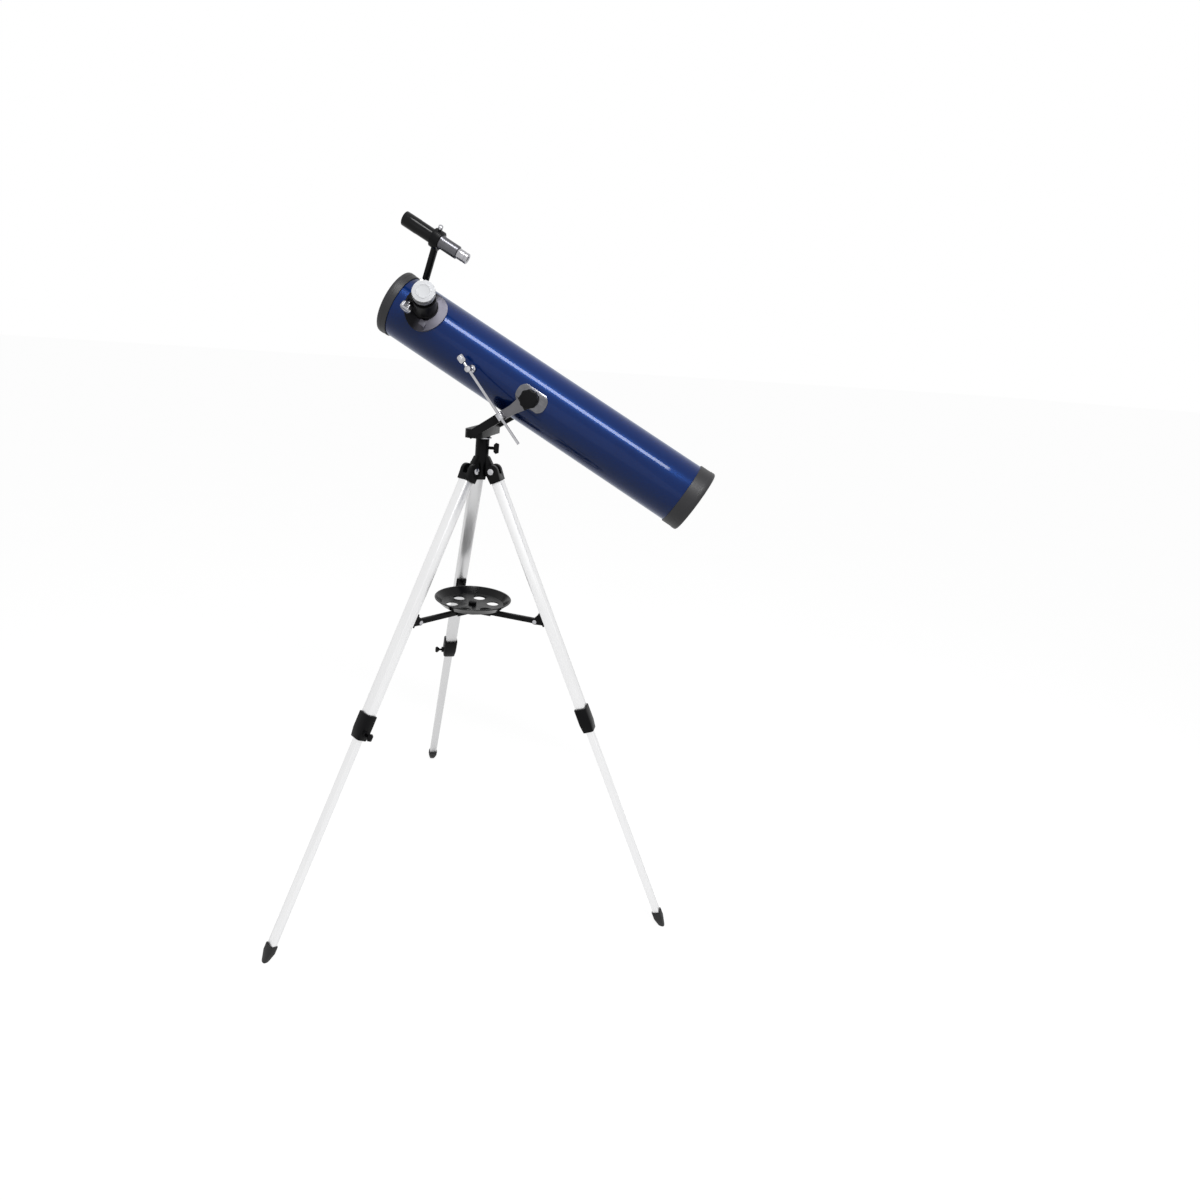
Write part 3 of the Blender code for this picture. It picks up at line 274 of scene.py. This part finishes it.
def foot_rubber():
    finish = Finish("foot_rubber", IOR=1.45)
    dust = finish.noise(70, 5, 0.7).over(0.45, 0.8)
    pores = finish.noise(900, 3)
    finish.feed({"Base Color": finish.blend(dust, (0.012, 0.012, 0.013), (0.050, 0.048, 0.046)),
                 "Roughness": 0.55 + dust * 0.25 + pores * 0.1})
    finish.bump(pores + dust * 0.5, 0.00008)
    return finish.material


def flocked_black():
    """The tube's lining: dead black, with a short nap."""
    finish = Finish("matt_black_lining", IOR=1.35, Specular_IOR_Level=0.2)
    nap = finish.noise(1200, 2)
    finish.feed({"Base Color": finish.blend(nap, (0.004, 0.004, 0.0045), (0.013, 0.013, 0.014)),
                 "Roughness": 0.85 + nap * 0.1})
    finish.bump(nap, 0.00008)
    return finish.material


def optic(name, colour, metallic):
    """A polished surface with the faintest dust."""
    finish = Finish(name, Metallic=metallic, IOR=1.52)
    dust = finish.noise(600, 3).over(0.68, 0.8)
    finish.feed({"Base Color": finish.blend(dust, colour, (0.6, 0.6, 0.6)), "Roughness": 0.02 + dust * 0.3})
    return finish.material




def saddle_finish_with_painted_sheen():
    """Black saddle plastic with painted light: its back is painted a pale lavender sheen, which fades to near-black in
    front.
    """
    finish = Finish("focuser_saddle_plastic_painted_sheen", IOR=1.5, Specular_IOR_Level=0.1)
    forward = finish.node("ShaderNodeVectorMath", {"operation": "DOT_PRODUCT"}, {0: finish.place, 1: tuple(TUBE)},
                          output="Value")
    here = PIVOT.dot(TUBE) + sum(span("drawtube", TUBE, PIVOT)) / 2
    mottle = finish.noise(60, 4)
    painted_sheen_colour = finish.blend(mottle, (0.24, 0.235, 0.29), (0.34, 0.33, 0.39))
    # painted sheen: pale lavender over the saddle's back, going over to near-black towards the front along the tube
    finish.feed({"Base Color": finish.blend((forward - here).over(-0.012, 0.006), painted_sheen_colour, (0.012, 0.012, 0.015)),
                 "Roughness": 0.48 + mottle * 0.12})
    finish.bump(finish.noise(1500, 2), 0.00002)
    return finish.material


BLACK = moulded("black_plastic", (0.0030, 0.0030, 0.0036), (0.0075, 0.0075, 0.0085), 0.33)
GLOSS_BLACK = moulded("gloss_black_plastic", (0.003, 0.003, 0.0035), (0.006, 0.006, 0.007), 0.19, 0.00001, 0.14)
RING_BLACK = moulded("ring_black_plastic", (0.004, 0.004, 0.006), (0.010, 0.010, 0.013), 0.46, 0.00004, 0.0, 0.5)
# the saddle's finish, with a painted sheen on its back half
SADDLE_PAINTED_SHEEN = saddle_finish_with_painted_sheen()
CAP_WHITE = moulded("white_cap_plastic", (0.62, 0.63, 0.65), (0.70, 0.71, 0.73), 0.42, 0.00001)
ARM_GREY = drawn_metal("near_arm_steel", OVER, (0.160, 0.157, 0.166), (0.100, 0.098, 0.106), 0.36)
CHROME = bright_metal("chrome", (0.55, 0.55, 0.57), (0.34, 0.34, 0.36), 0.08)
BARREL_SILVER = bright_metal("finder_barrel_silver", (0.13, 0.13, 0.14), (0.08, 0.08, 0.09), 0.26)
PLATE_STEEL = bright_metal("cradle_plate_steel", (0.20, 0.20, 0.21), (0.10, 0.10, 0.11), 0.14)
EYEPIECE_SILVER = bright_metal("eyepiece_silver", (0.46, 0.46, 0.48), (0.32, 0.32, 0.34), 0.2)
ENAMEL = tube_enamel()
RUBBER = foot_rubber()
LINING = flocked_black()
MIRROR = optic("mirror_coating", (0.90, 0.91, 0.92), 1.0)
LENS = optic("finder_lens", (0.010, 0.012, 0.022), 0.0)

# ---------------------------------------------------------------- workshop


def alone(piece):
    bpy.ops.object.select_all(action="DESELECT")
    piece.select_set(True)
    bpy.context.view_layer.objects.active = piece


def edit(piece, kind="VERT"):
    """Opens a piece for editing with everything selected."""
    alone(piece)
    bpy.ops.object.mode_set(mode="EDIT")
    bpy.ops.mesh.select_mode(type=kind)
    bpy.ops.mesh.select_all(action="SELECT")


def close_up():
    bpy.ops.object.mode_set(mode="OBJECT")


def tidy_normals(piece):
    edit(piece)
    bpy.ops.mesh.remove_doubles(threshold=0.000005)
    bpy.ops.mesh.normals_make_consistent(inside=False)
    close_up()


def turn(name, profile, sides=ROUND_SIDES, ringed=False):
    """Turns a profile of (radius, height) about the Z axis, a ring at a time. A ringed profile closes on itself."""
    (radius, height), rest = profile[0], profile[1:]
    bpy.ops.object.select_all(action="DESELECT")
    bpy.ops.mesh.primitive_circle_add(vertices=sides, radius=radius, location=(0, 0, height))
    piece = bpy.context.object
    piece.name = piece.data.name = name
    bpy.ops.object.transform_apply(location=True, rotation=True, scale=True)
    edit(piece, "EDGE")
    for wide, high in rest:
        bpy.ops.mesh.extrude_edges_move(TRANSFORM_OT_translate={"value": (0, 0, high - height)})
        bpy.ops.transform.resize(value=(wide / radius, wide / radius, 1), center_override=(0, 0, high))
        radius, height = wide, high
    if ringed:
        bpy.ops.mesh.select_all(action="DESELECT")
        bpy.ops.mesh.select_non_manifold()
        bpy.ops.mesh.bridge_edge_loops()
    else:
        bpy.ops.mesh.select_all(action="SELECT")
        bpy.ops.mesh.fill_holes(sides=0)
    close_up()
    tidy_normals(piece)
    return piece


def block(name, size, centre=(0, 0, 0)):
    bpy.ops.object.select_all(action="DESELECT")
    bpy.ops.mesh.primitive_cube_add(size=1, location=centre)
    piece = bpy.context.object
    piece.name = piece.data.name = name
    piece.scale = size
    bpy.ops.object.transform_apply(location=True, rotation=True, scale=True)
    return piece


def stand(piece, origin, axis, beside=None):
    """Puts a piece's Z axis along axis and its X axis near beside, at origin, and applies that place."""
    beside = beside or (UP if abs(axis.z) < 0.9 else Vector((1, 0, 0)))
    side = (beside - axis * beside.dot(axis)).normalized()
    turn_to = Matrix((side, axis.cross(side), axis)).transposed().to_4x4()
    piece.matrix_world = Matrix.Translation(origin) @ turn_to
    alone(piece)
    bpy.ops.object.transform_apply(location=True, rotation=True, scale=True)
    return piece


def cut(piece, tool, operation="DIFFERENCE"):
    change = piece.modifiers.new("cut", "BOOLEAN")
    change.operation, change.object, change.solver = operation, tool, "EXACT"
    alone(piece)
    bpy.ops.object.modifier_apply(modifier=change.name)
    bpy.data.objects.remove(tool, do_unlink=True)
    return piece


def soften(piece, width=UPPER_EDGE, segments=2, angle=32):
    """Rounds a piece's sharp edges and shades what is left smooth."""
    if width:
        edge = piece.modifiers.new("edges", "BEVEL")
        edge.width, edge.segments, edge.limit_method, edge.angle_limit = width, segments, "ANGLE", radians(angle)
        alone(piece)
        bpy.ops.object.modifier_apply(modifier=edge.name)
    alone(piece)
    bpy.ops.object.shade_smooth_by_angle(angle=radians(angle))
    return piece


def complete(piece, node, slot, *finishes, body=None, stands_for=True):
    """Gives a piece its finishes and its body; its slot argument is not used."""
    piece.data.materials.clear()
    for finish in finishes:
        piece.data.materials.append(finish)
    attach(piece, body or frame["nodes"][node]["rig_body"])
    if stands_for:
        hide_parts(node)
    return piece


def paint(piece, slot, chosen):
    """Uses a later finish on the faces that chosen picks by their centre."""
    for face in piece.data.polygons:
        if chosen(face.center):
            face.material_index = slot
    return piece


def fettled(node, slot, *finishes, edge=UPPER_EDGE, angle=32):
    """A welded copy of a node with its edges rounded."""
    piece = bpy.data.objects.new(node + "_fettled", frame["nodes"][node].data.copy())
    bpy.context.collection.objects.link(piece)
    alone(piece)
    bpy.ops.mesh.customdata_custom_splitnormals_clear()
    edit(piece)
    bpy.ops.mesh.remove_doubles(threshold=0.00002)
    bpy.ops.mesh.dissolve_limited(angle_limit=radians(0.6))
    close_up()
    soften(piece, edge, angle=angle)
    return complete(piece, node, slot, *finishes)


# ---------------------------------------------------------------- optical tube


def tube_shell():
    low, high = span("main_tube", TUBE, PIVOT)
    middle = sum(span("drawtube", TUBE, PIVOT)) / 2
    levels = [low, middle - 0.045, middle + 0.045, high]
    outside = [(TUBE_RADIUS, level) for level in levels]
    inside = [(TUBE_RADIUS - TUBE_WALL, level) for level in reversed(levels)]
    shell = stand(turn("tube_shell", outside + inside, RING_SIDES, ringed=True), PIVOT, TUBE, NEAR)
    hole = turn("hole", [(reach_from("drawtube", FOCUSER, FOCUS_FOOT)[1] + 0.0022, 0.03), (0.0197, 0.08)], 96)
    cut(shell, stand(hole, FOCUS_FOOT, FOCUSER, TUBE))
    soften(shell, 0, angle=40)
    complete(shell, "main_tube", "blue_enamel", ENAMEL, LINING)
    lining = TUBE_RADIUS - TUBE_WALL / 2
    paint(shell, 1, lambda centre: (centre - PIVOT).cross(TUBE).length < lining)


def end_ring(node, name, front):
    """Moulded end ring: a skirt with a raised band, rounded into the lip that covers the tube's edge."""
    low, high = span(node, TUBE, PIVOT)
    lip, wide = reach_from(node, TUBE, PIVOT)
    axis = TUBE if front else -TUBE
    if not front:
        low, high = -high, -low
    bore, edge = TUBE_RADIUS + CLOSE, 0.0035
    profile = [(bore, low), (wide - 0.0010, low), (wide - 0.0006, low + 0.0006), (wide - 0.0006, high - 0.0100),
               (wide, high - 0.0092), (wide, high - 0.0030), (wide - 0.0007, high - 0.0011), (wide - 0.0022, high),
               (lip + 0.0008, high), (lip, high - 0.0008), (lip, high - edge), (bore, high - edge)]
    ring = stand(turn(name, profile, RING_SIDES, ringed=True), PIVOT, axis, NEAR)
    soften(ring, 0.0003, angle=28)
    complete(ring, node, "black_plastic", RING_BLACK)


def primary():
    """The main mirror, its front ground to a shallow bowl."""
    low, high = span("primary_mirror", TUBE, PIVOT)
    wide = reach_from("primary_mirror", TUBE, PIVOT)[1]
    bowl = [(wide * share, high - 0.0011 * (1 - share * share)) for share in (0.95, 0.8, 0.6, 0.4, 0.2, 0.02)]
    profile = [(POLE, low), (wide, low), (wide, high - 0.0004), (wide - 0.0006, high)] + bowl
    mirror = stand(turn("primary_mirror_bowl", profile, 96), PIVOT, TUBE, NEAR)
    soften(mirror, 0, angle=20)
    complete(mirror, "primary_mirror", "mirror_glass", MIRROR)


# ---------------------------------------------------------------- focuser

FOCUSER = towards(along("drawtube_slide"), "drawtube_cap", PIVOT)
FOCUS_FOOT = PIVOT + TUBE * (sum(span("drawtube", TUBE, PIVOT)) / 2)
KNOB_AXIS = along("focus_turn")
PINION = pivot("focus_turn")
PINION -= KNOB_AXIS * (PINION - FOCUS_FOOT).dot(KNOB_AXIS)


def focuser():
    """Curved saddle on the tube, and the black housing with its collars and pinion block."""
    top = span("focuser_body", FOCUSER, FOCUS_FOOT)[1]
    flange = reach_from("focuser_body", FOCUSER, FOCUS_FOOT)[1]
    bore = reach_from("drawtube", FOCUSER, FOCUS_FOOT)[1] + FOCUSER_BORE_ROOM
    seat = TUBE_RADIUS + CLOSE
    disc = stand(turn("focuser_saddle", [(bore, 0.02), (flange, 0.02), (flange, 0.08), (bore, 0.08)], 128, ringed=True),
                 FOCUS_FOOT, FOCUSER, TUBE)
    wrap = [(seat, -0.06), (seat + SADDLE_THICKNESS, -0.06), (seat + SADDLE_THICKNESS, 0.06), (seat, 0.06)]
    saddle = cut(disc, stand(turn("wrap", wrap, RING_SIDES, ringed=True), FOCUS_FOOT, TUBE, NEAR), "INTERSECT")
    soften(saddle, 0.0005)
    complete(saddle, "focuser_body", "aluminium", SADDLE_PAINTED_SHEEN, stands_for=False)

    below = KNOB_AXIS if KNOB_AXIS.z < 0 else -KNOB_AXIS
    lug = block("saddle_lug", LUG)
    soften(lug, 0.0016, 3)
    stand(lug, FOCUS_FOOT + FOCUSER * (TUBE_RADIUS - 0.002) - TUBE * 0.012 + below * 0.027, FOCUSER, TUBE)
    cut(lug, stand(turn("below", [(seat, -0.08), (seat, 0.08)], RING_SIDES), FOCUS_FOOT, TUBE, NEAR))
    soften(lug, 0)
    complete(lug, "focuser_body", "aluminium", SADDLE_PAINTED_SHEEN, stands_for=False)

    root, mouth = bore + 0.0036, bore + 0.0026
    collar = root + FOCUSER_COLLAR
    profile = [(bore, 0.04), (collar, 0.04), (collar, seat + 0.0075), (root, seat + 0.0090), (mouth, top - 0.0052),
               (mouth + 0.0008, top - 0.0044), (mouth + 0.0008, top - 0.0008), (mouth, top), (bore, top)]
    housing = stand(turn("focuser_housing", profile, 80, ringed=True), FOCUS_FOOT, FOCUSER, TUBE)
    pinion = block("pinion_block", PINION_BLOCK)
    soften(pinion, 0.0022, 3)
    stand(pinion, PINION - TUBE * 0.001, FOCUSER, TUBE)
    cut(housing, pinion, "UNION")
    plug = turn("plug", [(bore, 0.03), (bore, top + 0.02)], 80)
    cut(housing, stand(plug, FOCUS_FOOT, FOCUSER, TUBE))
    cut(housing, stand(turn("under", [(seat + SADDLE_THICKNESS - 0.0004, -0.08), (seat + SADDLE_THICKNESS - 0.0004, 0.08)],
                            RING_SIDES), FOCUS_FOOT, TUBE, NEAR))
    soften(housing, FINE_EDGE)
    complete(housing, "focuser_body", "black_plastic", BLACK)


def drawtube():
    low, high = span("drawtube", FOCUSER, FOCUS_FOOT)
    bore, wide = reach_from("drawtube", FOCUSER, FOCUS_FOOT)
    profile = [(bore, low), (wide, low), (wide, high - 0.0045), (wide - 0.0006, high - 0.0040),
               (wide - 0.0006, high), (bore, high)]
    piece = stand(turn("drawtube_barrel", profile, ringed=True), FOCUS_FOOT, FOCUSER, TUBE)
    soften(piece, 0.0002)
    complete(piece, "drawtube", "chrome", CHROME)


def dust_cap():
    """Push-on white cap with a raised ring on its face."""
    low, top = span("drawtube_cap", FOCUSER, FOCUS_FOOT)
    wide = reach_from("drawtube_cap", FOCUSER, FOCUS_FOOT)[1]
    seat = reach_from("drawtube", FOCUSER, FOCUS_FOOT)[1] + CLOSE
    ceiling = span("drawtube", FOCUSER, FOCUS_FOOT)[1] + CLOSE
    inner, outer = CAP_RING
    profile = [(POLE, ceiling), (seat, ceiling), (seat, low), (wide, low), (wide, top - 0.0016), (wide - 0.0004, top - 0.0007),
               (wide - 0.0014, top - 0.0005), (outer, top - 0.0005), (outer - 0.0004, top), (inner + 0.0004, top),
               (inner, top - 0.0006), (POLE, top - 0.0006)]
    cap = stand(turn("dust_cap", profile, 96), FOCUS_FOOT, FOCUSER, TUBE)
    soften(cap, 0.0002, angle=25)
    complete(cap, "drawtube_cap", "white_plastic", CAP_WHITE)


def fluted(piece, radius, every=2):
    """Draws in every other column of a knob's rim."""
    edit(piece)
    bpy.ops.mesh.select_all(action="DESELECT")
    close_up()
    rim = [v for v in piece.data.vertices if v.co.xy.length > radius]
    angles = sorted({round(v.co.xy.angle_signed(Vector((1, 0))), 3) for v in rim})
    drawn = set(angles[::every])
    for v in rim:
        v.select = round(v.co.xy.angle_signed(Vector((1, 0))), 3) in drawn
    edit_keep(piece)
    bpy.ops.transform.resize(value=(KNOB_FLUTE, KNOB_FLUTE, 1), center_override=(0, 0, 0))
    close_up()


def edit_keep(piece):
    """Opens a piece for editing with the vertices already picked."""
    alone(piece)
    bpy.ops.object.mode_set(mode="EDIT")
    bpy.ops.mesh.select_mode(type="VERT")


def focus_knobs():
    """The pinion shaft with a fluted grip at each end."""
    low, high = span("focus_knob", KNOB_AXIS, PINION)
    grip = reach_from("focus_knob", KNOB_AXIS, PINION)[1]
    inner = high - 0.011
    half = [(0.0026, inner), (grip - 0.0014, inner), (grip, inner + 0.0012), (grip, high - 0.0012),
            (grip - 0.0012, high), (0.0050, high), (0.0046, high - 0.0006), (POLE, high - 0.0006)]
    profile = [(radius, -level) for radius, level in reversed(half)] + half
    knobs = turn("focus_knobs", profile, 72)
    fluted(knobs, grip - 0.0002)
    stand(knobs, PINION, KNOB_AXIS, TUBE)
    soften(knobs, 0, angle=30)
    complete(knobs, "focus_knob", "chrome", CHROME)


# ---------------------------------------------------------------- finder

FINDER = pivot("finder_focus")


def finder():
    """Straight-through finder: black dew shade and objective cell, silver barrel, and the eyepiece behind."""
    low, high = span("finder_tube", TUBE, FINDER)
    wide = reach_from("finder_tube", TUBE, FINDER)[1]
    step = low + 0.031
    waist = wide - 0.0014
    profile = [(POLE, low), (waist - 0.0006, low), (waist, low + 0.0006), (waist, step - 0.001), (wide - 0.0003, step + 0.002),
               (wide - 0.0003, high - FINDER_BLACK), (wide - 0.0003, high - 0.030), (wide, high - 0.029), (wide, high - 0.0008), (wide - 0.0008, high),
               (wide - 0.0018, high), (wide - 0.0022, high - 0.0060), (POLE, high - 0.0052)]
    tube = stand(turn("finder_barrel", profile, 72), FINDER, TUBE, NEAR)
    soften(tube, 0.0002, angle=24)
    complete(tube, "finder_tube", "aluminium", BARREL_SILVER, GLOSS_BLACK, LENS)
    paint(tube, 1, lambda c: (c - FINDER).dot(TUBE) > high - FINDER_BLACK)
    paint(tube, 2, lambda c: (c - FINDER).dot(TUBE) > high - 0.0062 and (c - FINDER).cross(TUBE).length < wide - 0.003)

    low, high = span("finder_eyepiece", TUBE, FINDER)
    wide = reach_from("finder_eyepiece", TUBE, FINDER)[1]
    profile = [(POLE, low + 0.0010), (0.0042, low + 0.0010), (0.0048, low), (wide - 0.0006, low), (wide, low + 0.0006),
               (wide, low + 0.0050), (wide - 0.0006, low + 0.0056), (wide - 0.0006, low + 0.0066), (wide, low + 0.0072),
               (wide, high), (POLE, high)]
    eyepiece = turn("finder_eyepiece_barrel", profile, 72)
    stand(eyepiece, FINDER, TUBE, NEAR)
    soften(eyepiece, 0.0002, angle=24)
    complete(eyepiece, "finder_eyepiece", "aluminium", EYEPIECE_SILVER, LENS)
    paint(eyepiece, 1, lambda c: (c - FINDER).dot(TUBE) < low + 0.0012 and (c - FINDER).cross(TUBE).length < 0.0042)


# ---------------------------------------------------------------- tray


def tray():
    """Accessory tray: a flat floor with six eyepiece holes, a sloping side and a rolled rim."""
    low, top = span("accessory_tray", UP, MAST)
    bore, rim = reach_from("accessory_tray", UP, MAST)
    floor = low + 0.002
    profile = [(bore, low), (0.0590, low), (0.0640, low + 0.0016), (rim - 0.0018, top - TRAY_RIM - 0.0012),
               (rim, top - TRAY_RIM), (rim, top - 0.0005), (rim - 0.0005, top), (rim - 0.0030, top),
               (rim - 0.0040, top - 0.0012), (0.0630, floor + 0.0016), (0.0585, floor), (bore, floor)]
    dish = turn("tray_dish", profile, 120, ringed=True)
    hole = TRAY_HOLE_RADIUS
    for step in range(TRAY_HOLES):
        turned = 2 * pi * step / TRAY_HOLES
        drill = turn("drill", [(hole, low - 0.01), (hole, floor + 0.01)], 48)
        stand(drill, Vector((TRAY_HOLE_PITCH * cos(turned), TRAY_HOLE_PITCH * sin(turned), 0)), UP)
        cut(dish, drill)
    stand(dish, MAST, UP, Vector((1, 0, 0)))
    soften(dish, 0.0003, angle=24)
    complete(dish, "accessory_tray", "black_plastic", GLOSS_BLACK)


# ---------------------------------------------------------------- assembly

tube_shell()
end_ring("front_ring", "front_end_ring", True)
end_ring("rear_ring", "rear_end_ring", False)
primary()
focuser()
drawtube()
dust_cap()
focus_knobs()
finder()
tray()

fettled("mirror_cell", "black_plastic", BLACK)
fettled("spider", "matt_black", LINING, edge=0.0002)
fettled("secondary_mirror", "mirror_glass", MIRROR, LINING, edge=0.0002)
for number in (1, 2, 3):
    fettled(f"collimation_screw_{number}", "chrome", CHROME, edge=FINE_EDGE)
fettled("finder_bracket", "black_plastic", BLACK, edge=FINE_EDGE, angle=24)
fettled("finder_screw", "chrome", CHROME, edge=FINE_EDGE)

yoke = fettled("yoke", "black_plastic", BLACK, ARM_GREY, edge=0.0010)
swivel = sum((Vector(corner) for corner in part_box("rod_swivel")), Vector()) / 2
arm_way = swivel - PIVOT
arm_way = (arm_way - NEAR * arm_way.dot(NEAR)).normalized()
edit(yoke)
for reach in ARM_GREY_SPAN:
    bpy.ops.mesh.select_all(action="SELECT")
    bpy.ops.mesh.bisect(plane_co=PIVOT + arm_way * reach, plane_no=arm_way)
close_up()
paint(yoke, 1, lambda c: (c - PIVOT).dot(NEAR) > ARM_INNER_FACE
      and ARM_GREY_SPAN[0] < (c - PIVOT).dot(arm_way) < ARM_GREY_SPAN[1])
boss_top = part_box("tripod_hub")[1].z
washer = [(0.0150, 0.0006), (0.0172, 0.0006), (0.0172, 0.0026), (0.0150, 0.0026)]
washer = stand(turn("azimuth_washer", washer, ringed=True), MAST + UP * boss_top, UP)
soften(washer, 0.0003)
complete(washer, "yoke", "chrome", CHROME, stands_for=False)
fettled("cradle_plate_near", "chrome", PLATE_STEEL, edge=0.0006)
fettled("cradle_plate_far", "chrome", PLATE_STEEL, edge=0.0006)
for side in ("near", "far"):
    fettled(f"altitude_knob_{side}", "black_plastic", BLACK, edge=0.0008)
for node in ("rod_stud", "slow_motion_rod", "rod_swivel", "rod_knob"):
    fettled(node, "chrome", CHROME, edge=FINE_EDGE)
fettled("azimuth_spindle", "chrome", CHROME, edge=FINE_EDGE)
fettled("azimuth_lock_knob", "black_plastic", BLACK, edge=0.0008)

fettled("tripod_hub", "black_plastic", BLACK, edge=0.0008)
fettled("spreader_hub", "black_plastic", BLACK, edge=0.0005)
fettled("tray_screw", "black_plastic", BLACK, edge=0.0005)
for side in SIDES:
    down = (Vector(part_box(f"foot_tip_{side}")[0]) + Vector(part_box(f"foot_tip_{side}")[1])) / 2 - pivot(f"fold_{side}")
    # painted shade: the back leg gets a darker copy of the same aluminium (0.62 against 0.80) for the shade it stands
    # in
    shade = 0.80 if side != "back" else 0.62
    legs = drawn_metal(f"satin_aluminium_{side}", down.normalized(), (shade + 0.08,) * 3,
                       (shade - 0.03, shade - 0.03, shade - 0.02), 0.36)
    fettled(f"upper_leg_{side}", "aluminium", legs, edge=0.0003, angle=26)
    fettled(f"lower_leg_{side}", "aluminium", legs, edge=0.0003, angle=26)
    fettled(f"leg_bracket_{side}", "black_plastic", BLACK, edge=0.0010)
    fettled(f"hinge_bolt_{side}", "chrome", CHROME, edge=0.0005)
    fettled(f"leg_clamp_{side}", "black_plastic", BLACK, edge=0.0009)
    fettled(f"clamp_screw_{side}", "black_plastic", BLACK, edge=0.0006)
    fettled(f"foot_tip_{side}", "rubber", RUBBER, edge=0.0012)
    bracket = fettled(f"brace_bracket_{side}", "black_plastic", BLACK, CHROME, edge=0.0004)
    pin, pin_axis = pivot(f"brace_swing_{side}"), along(f"brace_swing_{side}")
    paint(bracket, 1, lambda c: (c - pin).cross(pin_axis).length < 0.0043 and abs((c - pin).dot(pin_axis)) > 0.0071)
    fettled(f"brace_arm_{side}", "black_plastic", BLACK, edge=0.0008)

# ---------------------------------------------------------------- floor, light and camera


def seen_directly(tree):
    """1 for rays from the camera, from a mirror or through glass."""
    path = tree.nodes.new("ShaderNodeLightPath")
    total = path.outputs["Is Camera Ray"]
    for name in ("Is Glossy Ray", "Is Transmission Ray"):
        join = tree.nodes.new("ShaderNodeMath")
        join.operation, join.use_clamp = "ADD", True
        tree.links.new(total, join.inputs[0])
        tree.links.new(path.outputs[name], join.inputs[1])
        total = join.outputs[0]
    return total


def studio_floor():
    bpy.ops.object.select_all(action="DESELECT")
    bpy.ops.mesh.primitive_plane_add(size=160, location=(0, 0, -0.0005))
    floor = bpy.context.object
    floor.name = "studio_floor"
    finish = Finish("pale_floor", Roughness=1.0, Specular_IOR_Level=0.0)
    cloud = finish.noise(2, 2)
    finish.feed({"Base Color": finish.blend(cloud, (0.24, 0.24, 0.24), (0.27, 0.27, 0.27)),
                 "Emission Color": (1.0, 1.0, 1.0, 1.0)})
    lift = seen_directly(finish.tree)
    dim = finish.tree.nodes.new("ShaderNodeMath")
    dim.operation = "MULTIPLY"
    dim.inputs[1].default_value = 0.94
    finish.tree.links.new(lift, dim.inputs[0])
    finish.tree.links.new(dim.outputs[0], finish.shader.inputs["Emission Strength"])
    floor.data.materials.append(finish.material)


def surroundings():
    world = bpy.data.worlds.new("studio")
    bpy.context.scene.world = world
    world.use_nodes = True
    sky = world.node_tree.nodes["Background"]
    sky.inputs["Color"].default_value = (1, 1, 1, 1)
    mix = world.node_tree.nodes.new("ShaderNodeMapRange")
    world.node_tree.links.new(seen_directly(world.node_tree), mix.inputs["Value"])
    mix.inputs["To Min"].default_value = 0.16
    mix.inputs["To Max"].default_value = 1.0
    world.node_tree.links.new(mix.outputs[0], sky.inputs["Strength"])


def softbox(name, place, target, size, watts, beside=UP):
    lamp = bpy.data.lights.new(name, "AREA")
    lamp.shape, lamp.size, lamp.size_y, lamp.energy = "RECTANGLE", size[0], size[1], watts
    holder = bpy.data.objects.new(name, lamp)
    bpy.context.collection.objects.link(holder)
    back = (place - target).normalized()
    side = (beside - back * beside.dot(back)).normalized()
    holder.matrix_world = Matrix.Translation(place) @ Matrix((side, back.cross(side), back)).transposed().to_4x4()


def studio_lights():
    overhead = (NEAR * 0.566 + OVER * 0.812 + TUBE * 0.15).normalized()
    softbox("overhead", PIVOT + overhead * 1.3, PIVOT, (1.05, 0.24), 17, TUBE)
    softbox("front", Vector((-1.4, -2.6, 1.1)), Vector((0, -0.1, 0.6)), (1.6, 1.6), 2.5)
    softbox("side", Vector((2.4, -0.9, 1.3)), Vector((0, -0.1, 0.6)), (1.2, 1.6), 2)


def studio_camera():
    ahead = Vector((sin(CAMERA_YAW) * cos(CAMERA_PITCH), cos(CAMERA_YAW) * cos(CAMERA_PITCH), -sin(CAMERA_PITCH)))
    right = Vector((cos(CAMERA_YAW), -sin(CAMERA_YAW), 0))
    above = right.cross(ahead)
    rolled = right * cos(CAMERA_ROLL) + above * sin(CAMERA_ROLL)
    above = above * cos(CAMERA_ROLL) - right * sin(CAMERA_ROLL)
    view = bpy.data.cameras.new("camera")
    view.lens, view.sensor_width = CAMERA_LENS, CAMERA_SENSOR
    view.shift_x, view.shift_y = CAMERA_SHIFT
    view.clip_start = 0.02
    holder = bpy.data.objects.new("camera", view)
    bpy.context.collection.objects.link(holder)
    holder.matrix_world = (Matrix.Translation(MAST + CAMERA_FROM_AXIS)
                           @ Matrix((rolled, above, -ahead)).transposed().to_4x4())
    bpy.context.scene.camera = holder


studio_floor()
surroundings()
studio_lights()
studio_camera()
bpy.context.scene.view_settings.view_transform = "Standard"
